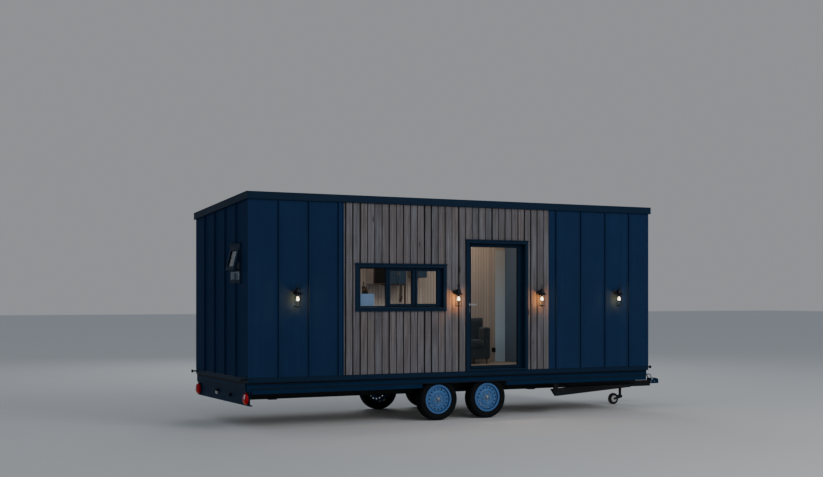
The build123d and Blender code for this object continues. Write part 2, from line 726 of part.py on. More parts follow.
def lantern_glass(x):
    """The glass chimney between the base plate and the cap."""
    wall = 3
    outer = Cylinder(LANTERN_GLASS_RADIUS, LANTERN_GLASS_HEIGHT, align=UPRIGHT)
    inner = Cylinder(LANTERN_GLASS_RADIUS - wall, LANTERN_GLASS_HEIGHT, align=UPRIGHT)
    return Pos(x, -LANTERN_REACH, LANTERN_BASE + LANTERN_PLATE) * (outer - inner)


def lantern_bulb(x):
    """A bulb hanging from its socket under the cap."""
    r = BULB_RADIUS
    outline = [
        (0, 0),
        (BULB_SOCKET_RADIUS, 0),
        (BULB_SOCKET_RADIUS, BULB_SOCKET_HEIGHT),
        (r, BULB_HEIGHT - r * 0.2),
        (r * 0.9, BULB_HEIGHT + r * 0.45),
        (r * 0.5, BULB_HEIGHT + r * 0.9),
        (0, BULB_HEIGHT + r),
    ]
    bulb = revolve(Plane.XZ * make_face(Polyline(*outline, close=True)), Axis.Z)
    return Pos(x, -LANTERN_REACH, lantern_brim()) * Rot(180, 0, 0) * bulb


def side_rail():
    """The folded channel under the near wall, cut away over the wheels and behind the light board."""
    y0 = SIDE_RAIL_INSET
    web = SIDE_RAIL_WEB
    step = SIDE_RAIL_STEP_DEPTH
    deep = y0 + SIDE_RAIL_FLANGE
    corners = [
        (y0, DECK_BOTTOM), (y0, SIDE_RAIL_STEP), (y0 + step, SIDE_RAIL_STEP - step),
        (y0 + step, SIDE_RAIL_BOTTOM), (deep, SIDE_RAIL_BOTTOM), (deep, SIDE_RAIL_BOTTOM + web),
        (y0 + step + web, SIDE_RAIL_BOTTOM + web),
        (y0 + step + web, SIDE_RAIL_STEP), (y0 + web, SIDE_RAIL_STEP + step), (y0 + web, DECK_BOTTOM - web),
        (deep, DECK_BOTTOM - web), (deep, DECK_BOTTOM),
    ]
    rail = extrude(Plane.YZ * make_face(Polyline(*corners, close=True)), BODY_LENGTH, dir=(1, 0, 0))
    rail -= block(-1, LIGHT_BOARD_START + LIGHT_BOARD_DEPTH, y0 - 1, deep + 1,
                  SIDE_RAIL_BOTTOM - 1, LIGHT_BOARD_TOP)
    return rail - block(WHEEL_CUT_START, WHEEL_CUT_END, y0 - 1, deep + 1,
                        SIDE_RAIL_BOTTOM - 1, SIDE_RAIL_STEP)


def side_rails():
    near = side_rail()
    return [near] + far_side([near])


def rear_rail():
    """The channel that closes the chassis between the side rails, on top of the light board."""
    web = SIDE_RAIL_WEB
    depth = REAR_RAIL_DEPTH
    corners = [
        (0, LIGHT_BOARD_TOP), (depth, LIGHT_BOARD_TOP), (depth, LIGHT_BOARD_TOP + web),
        (web, LIGHT_BOARD_TOP + web), (web, DECK_BOTTOM - web), (depth, DECK_BOTTOM - web),
        (depth, DECK_BOTTOM), (0, DECK_BOTTOM),
    ]
    y0 = SIDE_RAIL_INSET + SIDE_RAIL_FLANGE
    return extrude(side_view(y0) * make_face(Polyline(*corners, close=True)), 2 * y0 - BODY_WIDTH)


def main_beam():
    """A long I beam under the deck."""
    half = BEAM_WIDTH / 2
    web = BEAM_WEB / 2
    z0, z1 = BEAM_BOTTOM, BEAM_BOTTOM + BEAM_HEIGHT
    y = BEAM_PLACE
    corners = [
        (y - half, z0), (y + half, z0), (y + half, z0 + BEAM_WEB), (y + web, z0 + BEAM_WEB),
        (y + web, z1 - BEAM_WEB), (y + half, z1 - BEAM_WEB), (y + half, z1), (y - half, z1),
        (y - half, z1 - BEAM_WEB), (y - web, z1 - BEAM_WEB), (y - web, z0 + BEAM_WEB),
        (y - half, z0 + BEAM_WEB),
    ]
    start = LIGHT_BOARD_START + LIGHT_BOARD_DEPTH
    face = Plane.YZ * make_face(Polyline(*corners, close=True))
    return Pos(start, 0, 0) * extrude(face, BODY_LENGTH - start, dir=(1, 0, 0))


def jack_pad(x):
    """A square plate under the near beam where a jack or a corner steady goes."""
    half = PAD_SIZE / 2
    return block(x - half, x + half, BEAM_PLACE - half, BEAM_PLACE + half,
                 BEAM_BOTTOM - PAD_THICKNESS, BEAM_BOTTOM)


def main_beams():
    """Both beams with their jacking pads, the front pads behind the drawbar's arms."""
    near = main_beam() + jack_pad(PAD_INSET) + jack_pad(ARM_REAR - PAD_INSET / 2)
    return [near] + far_side([near])


def cross_member_places():
    """Evenly spaced from the rear rail and from the drawbar end to the wheels."""
    edge = CROSS_MEMBER_WIDTH / 2
    last = CROSS_MEMBERS_PER_END - 1
    rear_start = REAR_RAIL_DEPTH + edge
    rear_end = WHEEL_CUT_START - CROSS_MEMBER_CLEARANCE
    front_start = WHEEL_CUT_END + CROSS_MEMBER_CLEARANCE
    front_end = BODY_LENGTH - edge
    rear = [rear_start + (rear_end - rear_start) * step / last for step in range(CROSS_MEMBERS_PER_END)]
    front = [front_start + (front_end - front_start) * step / last for step in range(CROSS_MEMBERS_PER_END)]
    return rear + front


def cross_members():
    """Box sections across the trailer, on the main beams and between the side rails."""
    y0 = SIDE_RAIL_INSET + SIDE_RAIL_FLANGE
    z0 = BEAM_BOTTOM + BEAM_HEIGHT
    half = CROSS_MEMBER_WIDTH / 2
    return [block(x - half, x + half, y0, BODY_WIDTH - y0, z0, DECK_BOTTOM) for x in cross_member_places()]


ARM_TOP = BEAM_BOTTOM
ARM_BOTTOM = ARM_TOP - ARM_HEIGHT


def drawbar():
    """The A-frame: two converging arms, the nose tube they meet on and the hangers at their rear ends."""
    start = Vector(ARM_REAR, ARM_REAR_OFFSET + ARM_WIDTH / 2, 0)
    end = Vector(DRAWBAR_NOSE, CENTRE_LINE - DRAWBAR_TUBE / 2 + ARM_WIDTH / 2, 0)
    along = (end - start).normalized()
    across = Vector(-along.Y, along.X, 0) * (ARM_WIDTH / 2)
    outline = Polyline(start + across, end + across, end - across, start - across, close=True)
    arm = Pos(0, 0, ARM_BOTTOM) * extrude(make_face(outline), ARM_HEIGHT)
    end_cut = Plane(origin=(ARM_REAR, 0, ARM_TOP - ARM_END_CUT), z_dir=(1, 0, 1))
    arm = split(arm, bisect_by=end_cut, keep=Keep.TOP)
    hanger_x = ARM_REAR + ARM_WIDTH / 2
    hanger_y = ARM_REAR_OFFSET + HANGER_THICKNESS
    arm += block(hanger_x, hanger_x + HANGER_LENGTH, hanger_y, hanger_y + HANGER_THICKNESS,
                 ARM_TOP - ARM_HEIGHT / 3, SIDE_RAIL_BOTTOM)
    y0 = CENTRE_LINE - DRAWBAR_TUBE / 2
    nose = block(DRAWBAR_NOSE - NOSE_OVERLAP, DRAWBAR_END, y0, y0 + DRAWBAR_TUBE,
                 ARM_BOTTOM + TUBE_INSET, ARM_TOP - TUBE_INSET)
    return arm + far_side([arm])[0] + nose


def coupling_head():
    """The pressed ball coupling: its plan crossed with a drooping side view, bored for ball and pivot."""
    half = COUPLING_WIDTH / 2
    front = BALL_PLACE + half
    bottom = COUPLING_TOP - COUPLING_HEIGHT
    plan = make_hull([
        *(Pos(DRAWBAR_END + half, CENTRE_LINE) * Rectangle(COUPLING_WIDTH, COUPLING_WIDTH)).edges(),
        *(Pos(BALL_PLACE, CENTRE_LINE) * Circle(half)).edges(),
    ])
    shoulder = front - COUPLING_WIDTH
    side = Polyline(
        (DRAWBAR_END, bottom), (front, bottom), (front, COUPLING_TOP - 1.4 * COUPLING_NOSE_DROP),
        (front - half / 2, COUPLING_TOP - COUPLING_NOSE_DROP / 2), (shoulder, COUPLING_TOP),
        (DRAWBAR_END, COUPLING_TOP), close=True)
    body = Pos(0, 0, bottom) * extrude(plan, COUPLING_HEIGHT)
    body &= extrude(side_view(CENTRE_LINE + half) * make_face(side), COUPLING_WIDTH)
    ball = BALL_RADIUS + BALL_CLEARANCE
    socket = Pos(BALL_PLACE, CENTRE_LINE, bottom + BALL_RADIUS) * Sphere(ball)
    socket += Pos(BALL_PLACE, CENTRE_LINE, bottom - 1) * Cylinder(ball, BALL_RADIUS + 1, align=UPRIGHT)
    hole = rod((PIVOT_PLACE, CENTRE_LINE - COUPLING_WIDTH, PIVOT_HEIGHT),
               (PIVOT_PLACE, CENTRE_LINE + COUPLING_WIDTH, PIVOT_HEIGHT), COUPLING_PIN_RADIUS + PIN_CLEARANCE)
    return body - socket - hole


def coupling_handle():
    """The lifting handle: two cheeks on a pin through the head, joined by a grip."""
    half = COUPLING_WIDTH / 2 + HANDLE_GAP
    y0, y1 = CENTRE_LINE - half, CENTRE_LINE + half
    outline = make_hull([
        *(Pos(PIVOT_PLACE, PIVOT_HEIGHT) * Circle(PIVOT_EYE)).edges(),
        *(Pos(DRAWBAR_END, GRIP_HEIGHT) * Circle(GRIP_RADIUS)).edges(),
    ])
    handle = rod((PIVOT_PLACE, y0, PIVOT_HEIGHT), (PIVOT_PLACE, y1, PIVOT_HEIGHT), COUPLING_PIN_RADIUS)
    handle += rod((DRAWBAR_END, y0, GRIP_HEIGHT), (DRAWBAR_END, y1, GRIP_HEIGHT), GRIP_RADIUS)
    for y in (y0, y1 + CHEEK_THICKNESS):
        handle += extrude(side_view(y) * outline, CHEEK_THICKNESS)
    return handle


def upright(radius, z0, z1):
    """A round bar on the jockey tube's axis."""
    return Pos(JOCKEY_PLACE, CENTRE_LINE, z0) * Cylinder(radius, z1 - z0, align=UPRIGHT)


def jockey_mount():
    """The outer jockey tube in its collar on a plate across the drawbar arms, with the crank on top."""
    outer = JOCKEY_TUBE_RADIUS + JOCKEY_TUBE_WALL
    plate_top = ARM_TOP + BRIDGE_THICKNESS
    mount = block(JOCKEY_PLACE - BRIDGE_LENGTH / 2, JOCKEY_PLACE + BRIDGE_LENGTH / 2,
                  CENTRE_LINE - BRIDGE_WIDTH / 2, CENTRE_LINE + BRIDGE_WIDTH / 2, ARM_TOP, plate_top)
    mount += upright(outer, ARM_BOTTOM, JOCKEY_TOP)
    mount += upright(outer + JOCKEY_COLLAR, plate_top, plate_top + JOCKEY_COLLAR_HEIGHT)
    mount -= upright(JOCKEY_TUBE_RADIUS + STUB_CLEARANCE, ARM_BOTTOM - 1, JOCKEY_TOP - JOCKEY_TUBE_WALL)
    crank_z = JOCKEY_TOP + CRANK_RISE
    mount += upright(CRANK_RADIUS + 1, JOCKEY_TOP - 1, crank_z)
    mount += rod((JOCKEY_PLACE, CENTRE_LINE, crank_z), (JOCKEY_PLACE, CENTRE_LINE + CRANK_REACH, crank_z),
                 CRANK_RADIUS)
    grip = Cylinder(CRANK_GRIP_RADIUS, CRANK_GRIP_LENGTH, align=UPRIGHT)
    return mount + Pos(JOCKEY_PLACE, CENTRE_LINE + CRANK_REACH - CRANK_GRIP_RADIUS, crank_z) * grip


FORK_TOP = JOCKEY_WHEEL_RADIUS + FORK_RISE


def jockey_leg():
    """The inner tube that winds up into the outer one, with the pin that the fork swivels on."""
    leg = upright(JOCKEY_TUBE_RADIUS, FORK_TOP + SEAT, ARM_BOTTOM + JOCKEY_ENGAGED)
    return leg + upright(FORK_PIN_RADIUS, FORK_TOP - FORK_CROWN - FORK_PIN_DROP, FORK_TOP + SEAT + 1)


def jockey_fork():
    """The trailing fork that swivels on the leg's foot and carries the wheel's axle."""
    half = JOCKEY_WHEEL_WIDTH / 2 + HANDLE_GAP
    y0, y1 = CENTRE_LINE - half, CENTRE_LINE + half
    reach = JOCKEY_TUBE_RADIUS
    crown = block(JOCKEY_PLACE - reach, JOCKEY_PLACE + reach, y0 - CHEEK_THICKNESS, y1 + CHEEK_THICKNESS,
                  FORK_TOP - FORK_CROWN, FORK_TOP)
    fork = crown - upright(FORK_PIN_RADIUS + PIN_CLEARANCE, FORK_TOP - FORK_CROWN - 1, FORK_TOP + 1)
    outline = make_hull([
        *(Pos(JOCKEY_AXLE, JOCKEY_WHEEL_RADIUS) * Circle(FORK_EYE)).edges(),
        *(Pos(JOCKEY_PLACE, FORK_TOP - reach) * Circle(reach)).edges(),
    ])
    for y in (y0, y1 + CHEEK_THICKNESS):
        fork += extrude(side_view(y) * outline, CHEEK_THICKNESS)
    return fork + rod((JOCKEY_AXLE, y0 - 1, JOCKEY_WHEEL_RADIUS), (JOCKEY_AXLE, y1 + 1, JOCKEY_WHEEL_RADIUS),
                      JOCKEY_PIN_RADIUS)


def jockey_wheel():
    """A solid tyre with chamfered shoulders round a recessed hub, turned about its axle."""
    half = JOCKEY_WHEEL_WIDTH / 2
    face = half - JOCKEY_HUB_RECESS
    hub = JOCKEY_HUB_RADIUS
    bore = JOCKEY_PIN_RADIUS + PIN_CLEARANCE
    outer = JOCKEY_WHEEL_RADIUS
    edge = JOCKEY_CHAMFER
    outline = [(-face, bore), (-face, hub), (-half, hub), (-half, outer - edge), (edge - half, outer),
               (half - edge, outer), (half, outer - edge), (half, hub), (face, hub), (face, bore)]
    return Pos(JOCKEY_AXLE, CENTRE_LINE, JOCKEY_WHEEL_RADIUS) * Rot(0, 0, 90) * turned(outline)


def axle_x(index):
    """Place of the rear (0) or the front (1) axle."""
    return AXLE_PLACE + (index - 0.5) * AXLE_SPACING


def turned(points):
    """A closed outline of (distance along the axle, radius) pairs, turned round the axle."""
    return revolve(Plane.XY * make_face(Polyline(*points, close=True)), Axis.X)


def rim():
    """A pressed steel wheel on its brake drum: barrel, vented disc with a ridge, hub face and grease cap."""
    half = RIM_WIDTH / 2
    wall = RIM_WALL
    seat = RIM_SEAT_RADIUS
    well = seat - wall
    barrel = [
        (-half, RIM_RADIUS), (wall - half, RIM_RADIUS), (wall - half, seat), (half - wall, seat),
        (half - wall, RIM_RADIUS), (half, RIM_RADIUS), (half, well), (-half, well),
    ]
    face = DISC_DEPTH - half
    back = face + DISC_THICKNESS
    disc = [
        (face + 2 * DISC_THICKNESS, well + 1), (face, DISC_SHOULDER_RADIUS),
        (face, RIDGE_RADIUS + 2 * RIDGE_HEIGHT), (face - RIDGE_HEIGHT, RIDGE_RADIUS),
        (face, HUB_FACE_RADIUS), (face, GREASE_CAP_RADIUS),
        (face - GREASE_CAP_REACH, GREASE_CAP_RADIUS * 0.85), (face - GREASE_CAP_REACH, 0), (back, 0),
        (back, DISC_SHOULDER_RADIUS), (back + 2 * DISC_THICKNESS, well + 1),
    ]
    drum = [(face, 0), (face, DRUM_RADIUS), (face + DRUM_LENGTH, DRUM_RADIUS), (face + DRUM_LENGTH, 0)]
    shape = turned(barrel) + turned(disc) + turned(drum)
    vent_plane = Plane(origin=(face - 1, 0, 0), z_dir=(1, 0, 0))
    vent = extrude(vent_plane * (Pos(VENT_CIRCLE, 0) * RegularPolygon(VENT_RADIUS, 8)), DISC_THICKNESS + 2)
    shape -= [Rot(360 * turn / VENTS, 0, 0) * vent for turn in range(VENTS)]
    bore_end = STUB_END - TYRE_WIDTH / 2 - 1
    bore = Cylinder(STUB_RADIUS + STUB_CLEARANCE, TYRE_WIDTH, align=UPRIGHT)
    return shape - Pos(bore_end, 0, 0) * Rot(0, 90, 0) * bore


def tyre():
    """The casing: beads inside the rim's flanges, sidewalls that bulge past them, shoulders and tread."""
    half = TYRE_WIDTH / 2
    seat = RIM_SEAT_RADIUS + SEAT
    bead = RIM_WIDTH / 2 - RIM_WALL - SEAT
    over = RIM_RADIUS + SEAT
    bulge = TYRE_RADIUS - TYRE_BULGE
    outline = [
        (-bead, seat), (-bead, over), (-half, bulge), (-half, TYRE_RADIUS - TYRE_SHOULDER),
        (TREAD_EDGE - half, TYRE_RADIUS), (half - TREAD_EDGE, TYRE_RADIUS),
        (half, TYRE_RADIUS - TYRE_SHOULDER), (half, bulge), (bead, over), (bead, seat),
    ]
    return turned(outline)


def wheel_place(index, near):
    """Puts a wheel made along X, outer face towards -X, on its stub."""
    centre_y = WHEEL_INSET + TYRE_WIDTH / 2
    turn = 90 if near else -90
    y = centre_y if near else BODY_WIDTH - centre_y
    return Pos(axle_x(index), y, TYRE_RADIUS) * Rot(0, 0, turn)


STUB_END = 42
ARM_GAP = 10


def near_end_of_axle(x):
    """The near trailing arm with its back plate and stub shaft."""
    tube_x = x + SWING_ARM
    arm_y = WHEEL_INSET + TYRE_WIDTH + ARM_GAP
    outline = make_hull([
        *(Pos(x, TYRE_RADIUS) * Circle(SWING_EYE)).edges(),
        *(Pos(tube_x, BEAM_BOTTOM - AXLE_TUBE / 2) * Circle(TUBE_EYE)).edges(),
    ])
    arm = extrude(side_view(arm_y) * outline, -SWING_ARM_WIDTH)
    arm += rod((x, WHEEL_INSET + STUB_END, TYRE_RADIUS), (x, arm_y + 1, TYRE_RADIUS), STUB_RADIUS)
    drum_end = WHEEL_INSET + TYRE_WIDTH / 2 + DISC_DEPTH - RIM_WIDTH / 2 + DRUM_LENGTH
    plate_y = drum_end + HANDLE_GAP
    plate = Plane(origin=(x, plate_y, TYRE_RADIUS), z_dir=(0, 1, 0))
    arm += extrude(plate * Circle(BACK_PLATE_RADIUS), BACK_PLATE_THICKNESS)
    return arm + extrude(plate * Circle(SWING_EYE), arm_y + 1 - plate_y)


def axle(index):
    """A torsion axle: cross tube under the beams, trailing arms, brake back plates and stub shafts."""
    x = axle_x(index)
    half = AXLE_TUBE / 2
    tube_x = x + SWING_ARM
    y0 = WHEEL_INSET + TYRE_WIDTH + ARM_GAP
    tube = block(tube_x - half, tube_x + half, y0, BODY_WIDTH - y0, BEAM_BOTTOM - AXLE_TUBE, BEAM_BOTTOM)
    near = near_end_of_axle(x)
    return tube + near + far_side([near])[0]


def partition():
    """The inner wall that shows at the right of the door's glass."""
    return roof_prism(PARTITION_PLACE, PARTITION_PLACE + PARTITION_THICKNESS,
                      FAR_INSIDE - PARTITION_LENGTH, FAR_INSIDE, WALL_BASE, WALL_DROP)


def wall_cabinets():
    """Three cupboards hung on the back wall."""
    front = FAR_INSIDE - CABINET_DEPTH
    return [block(x0, x1, front, FAR_INSIDE, z0, CABINET_TOP) for x0, x1, z0 in CABINETS]


def fridge():
    box = block(FRIDGE_START, FRIDGE_END, FAR_INSIDE - FRIDGE_DEPTH, FAR_INSIDE, WALL_BASE, FRIDGE_TOP)
    return fillet(box.edges().filter_by(Axis.Z), 20)


def armchair():
    """The low armchair against the back wall: frame on feet, seat cushion, rounded arms and back."""
    x0, x1 = CHAIR_START, CHAIR_END
    y1 = FAR_INSIDE - CHAIR_WALL_GAP
    y0 = y1 - CHAIR_DEPTH
    foot = WALL_BASE + CHAIR_FOOT
    inner0, inner1 = x0 + CHAIR_ARM, x1 - CHAIR_ARM
    chair = block(x0 + CHAIR_ARM / 2, x1 - CHAIR_ARM / 2, y0 + CUSHION_ROUND, y1 - CUSHION_ROUND, foot,
                  WALL_BASE + CHAIR_FRAME_TOP)
    front = side_view(y0)
    seat_height = SEAT_TOP - CHAIR_FOOT
    seat = Pos((inner0 + inner1) / 2, foot + seat_height / 2) * Rectangle(inner1 - inner0, seat_height)
    chair += extrude(front * seat, CUSHION_ROUND - CHAIR_DEPTH)
    arm_height = CHAIR_ARM_HEIGHT - CHAIR_FOOT
    for x in (x0 + CHAIR_ARM / 2, x1 - CHAIR_ARM / 2):
        arm = Pos(x, foot + arm_height / 2) * RectangleRounded(CHAIR_ARM, arm_height, CUSHION_ROUND)
        chair += extrude(front * arm, -CHAIR_DEPTH)
    side = Plane(origin=(inner0, 0, 0), x_dir=(0, 1, 0), z_dir=(1, 0, 0))
    back_height = CHAIR_HEIGHT - CHAIR_FRAME_TOP
    back_middle = WALL_BASE + CHAIR_FRAME_TOP + back_height / 2
    back = RectangleRounded(CHAIR_BACK_THICKNESS, back_height, CUSHION_ROUND)
    chair += extrude(side * Pos(y1 - CHAIR_BACK_THICKNESS / 2, back_middle) * back, inner1 - inner0)
    for x in (x0 + CHAIR_FOOT_INSET, x1 - CHAIR_FOOT_INSET):
        for y in (y0 + CHAIR_FOOT_INSET, y1 - CHAIR_FOOT_INSET):
            chair += Pos(x, y, WALL_BASE) * Cylinder(CHAIR_FOOT_RADIUS, CHAIR_FOOT * 1.5, align=UPRIGHT)
    return chair


def light_board():
    """The folded channel across the rear that carries the lamps, open towards the house."""
    x0, x1 = LIGHT_BOARD_START, LIGHT_BOARD_START + LIGHT_BOARD_DEPTH
    z0, z1 = LIGHT_BOARD_BOTTOM, LIGHT_BOARD_TOP
    wall = LIGHT_BOARD_WALL
    lip = LIGHT_BOARD_LIP
    corners = [
        (x0, z0), (x1, z0), (x1, z0 + lip), (x1 - wall, z0 + lip), (x1 - wall, z0 + wall),
        (x0 + wall, z0 + wall), (x0 + wall, z1 - wall), (x1 - wall, z1 - wall), (x1 - wall, z1 - lip),
        (x1, z1 - lip), (x1, z1), (x0, z1),
    ]
    return extrude(side_view(0) * make_face(Polyline(*corners, close=True)), -BODY_WIDTH)


def tail_lamp(y):
    """A round domed lamp, turned about its own axis and set on the board's rear face."""
    z = (LIGHT_BOARD_BOTTOM + LIGHT_BOARD_TOP) / 2
    r, depth = TAIL_LAMP_RADIUS, TAIL_LAMP_DEPTH
    outline = [(0, 0), (0, r), (depth * 0.5, r), (depth * 0.75, r * 0.9), (depth * 0.93, r * 0.65),
               (depth, r * 0.3), (depth, 0)]
    return Pos(LIGHT_BOARD_START, y, z) * Rot(0, 0, 180) * turned(outline)


def tail_lamps():
    near = TAIL_LAMP_RADIUS + TAIL_LAMP_INSET
    return [tail_lamp(near), tail_lamp(BODY_WIDTH - near)]


def marker_lamp():
    """A rubber-stalked marker lamp on the rear end, at its near corner."""
    y, z = SIDE_RAIL_INSET, MARKER_HEIGHT
    neck = MARKER_HEAD - MARKER_REACH
    stalk = rod((0, y, z), (neck, y, z), MARKER_STALK_RADIUS)
    return stalk + rod((neck, y, z), (-MARKER_REACH, y, z), MARKER_RADIUS)


def marker_lamps():
    rear = marker_lamp()
    middle = Plane(origin=(BODY_LENGTH / 2, 0, 0), z_dir=(1, 0, 0))
    near = [rear, mirror(rear, about=middle)]
    return near + far_side(near)


nodes = {
    "floor_deck": floor_deck(),
    "base_flashing": base_flashing(),
    "back_wall": back_wall(),
    "rear_end_wall": rear_end_wall(),
    "drawbar_end_wall": drawbar_end_wall(),
    "roof": roof(),
    "roof_fascia": roof_fascia(),
    "front_metal_cladding": front_metal_cladding(),
    "timber_cladding": timber_cladding(),
    "back_cladding": back_cladding(),
    "rear_end_cladding": rear_end_cladding(),
    "drawbar_end_cladding": drawbar_end_cladding(),
    "window_frame": window_frame(),
    "window_sashes": window_sashes(),
    "window_glass": window_glass(),
    "rear_window_frame": rear_window_frame(),
    "rear_window_sash": rear_window_sash(),
    "rear_window_glass": rear_window_glass(),
    "door_casing": door_casing(),
    "door_leaf": door_leaf(),
    "door_glass": door_glass(),
    "door_handles": door_handles(),
    "lantern_metal": [lantern_metal(x) for x in LANTERN_PLACES],
    "lantern_glass": [lantern_glass(x) for x in LANTERN_PLACES],
    "lantern_bulbs": [lantern_bulb(x) for x in LANTERN_PLACES],
    "side_rails": side_rails(),
    "rear_rail": rear_rail(),
    "main_beams": main_beams(),
    "cross_members": cross_members(),
    "drawbar": drawbar(),
    "coupling_head": coupling_head(),
    "coupling_handle": coupling_handle(),
    "jockey_mount": jockey_mount(),
    "jockey_leg": jockey_leg(),
    "jockey_fork": jockey_fork(),
    "jockey_wheel": jockey_wheel(),
    "axle_rear": axle(0),
    "axle_front": axle(1),
    "partition": partition(),
    "wall_cabinets": wall_cabinets(),
    "fridge": fridge(),
    "armchair": armchair(),
    "light_board": light_board(),
    "tail_lamps": tail_lamps(),
    "marker_lamps": marker_lamps(),
}
nodes["front_wall_rear"], nodes["front_wall_over_door"], nodes["front_wall_ahead"] = front_walls()
for number, place in enumerate(("rear", "front")):
    for side, near in (("near", True), ("far", False)):
        nodes[f"rim_{place}_{side}"] = wheel_place(number, near) * rim()
        nodes[f"tyre_{place}_{side}"] = wheel_place(number, near) * tyre()

nodes = {name: group if isinstance(group, list) else [group] for name, group in nodes.items()}
span = Compound([shape for group in nodes.values() for shape in group]).bounding_box()
to_origin = Pos(-span.center().X, -span.center().Y, -span.min.Z)

os.makedirs("parts", exist_ok=True)
for name, group in nodes.items():
    solids = [solid for shape in group for solid in shape.solids()]
    whole = solids[0] if len(solids) == 1 else Compound(solids)
    export_step(to_origin * whole, f"parts/{name}.step")
print("origin shift", to_origin.position)
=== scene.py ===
"""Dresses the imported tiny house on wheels: cladding boards, glazing, lanterns, running gear and rooms."""

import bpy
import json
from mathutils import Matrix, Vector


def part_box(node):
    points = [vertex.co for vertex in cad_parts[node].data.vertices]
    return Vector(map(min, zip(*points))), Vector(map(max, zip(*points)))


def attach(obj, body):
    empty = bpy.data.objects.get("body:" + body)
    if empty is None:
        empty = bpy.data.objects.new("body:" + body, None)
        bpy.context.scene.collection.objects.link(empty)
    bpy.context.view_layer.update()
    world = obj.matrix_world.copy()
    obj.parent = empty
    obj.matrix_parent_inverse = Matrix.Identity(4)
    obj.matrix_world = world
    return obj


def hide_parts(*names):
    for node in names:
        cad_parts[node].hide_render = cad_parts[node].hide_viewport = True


bl_info = {
    "name": "Tiny House on Wheels",
    "version": (1, 0, 0),
    "blender": (4, 5, 0),
    "location": "3D View > Sidebar > Tiny House",
    "description": "Dresses a tiny house on a tandem-axle trailer and sets up its studio",
    "category": "Object",
}

import json
import math
import random

import bmesh
import bpy
from mathutils import Matrix, Vector

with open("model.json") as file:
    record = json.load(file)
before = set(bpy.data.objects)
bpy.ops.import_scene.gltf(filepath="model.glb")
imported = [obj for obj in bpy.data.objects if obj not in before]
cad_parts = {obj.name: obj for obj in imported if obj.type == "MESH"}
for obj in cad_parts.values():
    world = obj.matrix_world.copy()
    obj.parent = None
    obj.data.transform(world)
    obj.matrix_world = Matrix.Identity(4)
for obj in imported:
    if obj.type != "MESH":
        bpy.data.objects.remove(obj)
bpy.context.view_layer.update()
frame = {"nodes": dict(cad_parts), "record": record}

# Pieces are modelled in metres from the body's rear door-side corner at ground level, with X forwards,
# Y away from the door side and Z up, and then moved to the frame.
CORNER = Vector((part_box("base_flashing")[0][0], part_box("base_flashing")[0][1], 0.0))


def node_box(name):
    """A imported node's lowest and highest corners, from the body's corner."""
    low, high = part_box(name)
    return Vector(low) - CORNER, Vector(high) - CORNER


BODY_LOW, BODY_HIGH = node_box("base_flashing")
TIMBER_LOW, TIMBER_HIGH = node_box("timber_cladding")
WINDOW_LOW, WINDOW_HIGH = node_box("window_frame")
DOOR_LOW, DOOR_HIGH = node_box("door_casing")
LEAF_LOW, LEAF_HIGH = node_box("door_leaf")
REAR_LOW, REAR_HIGH = node_box("rear_window_frame")
FASCIA_LOW, FASCIA_HIGH = node_box("roof_fascia")
LENGTH, WIDTH = BODY_HIGH.x, BODY_HIGH.y
SILL = BODY_HIGH.z
OVERHANG = 0.030
FASCIA_DEPTH = 0.108
ROOF_FALL = 0.164 / 2.560
WALL = 0.120
FRONT_SEAMS = (0.473, 0.946, 1.419, 5.290, 5.779, 6.268, 6.757)
END_SEAMS = (0.5, 1.0, 1.5, 2.0)
BACK_SEAMS = tuple(0.478 * step for step in range(1, 15))
LANTERNS = (0.720, 3.400, 4.940, 6.470)
LANTERN_REACH = 0.120
LANTERN_FOOT = 1.782
AXLES = {"rear": 3.170, "front": 4.054}
WHEEL_CENTRE = 0.185
TYRE_RADIUS = 0.330
HUB_FACE = 0.062
FULL_TURN = 2 * math.pi
SHELF_TOP = 1.980
HANDLE_HEIGHT = 1.053
TRIM_HALF = 0.010
BOARD_SCREWS = (0.84, 1.34, 1.62, 2.09, 2.52, 2.90, 3.27)
SCREW_INSET = 0.018
REAR_SASH_TILT = 14.3
REAR_TRANSOM = 2.300
PARTITION = (5.759, 5.821)
LEAF_OUT, LEAF_IN = 0.076, 0.120
HEAD_OVERLAP = 0.01
HEAD_FOLD = ((0.0, 0.008), (-0.034, 0.001), (-0.034, -0.012), (-0.032, -0.012), (-0.032, -0.001),
             (0.0, 0.006))
SILL_FOLD = ((-0.028, 0.001), (0.050, 0.006), (0.050, 0.009), (-0.028, 0.004), (-0.030, 0.003),
             (-0.030, -0.018), (-0.028, -0.018))
REAR_SILL_FOLD = ((-0.030, 0.002), (0.024, 0.006), (0.024, 0.009), (-0.030, 0.005), (-0.032, 0.004),
                  (-0.032, -0.014), (-0.030, -0.014))


# Settings that a user would change

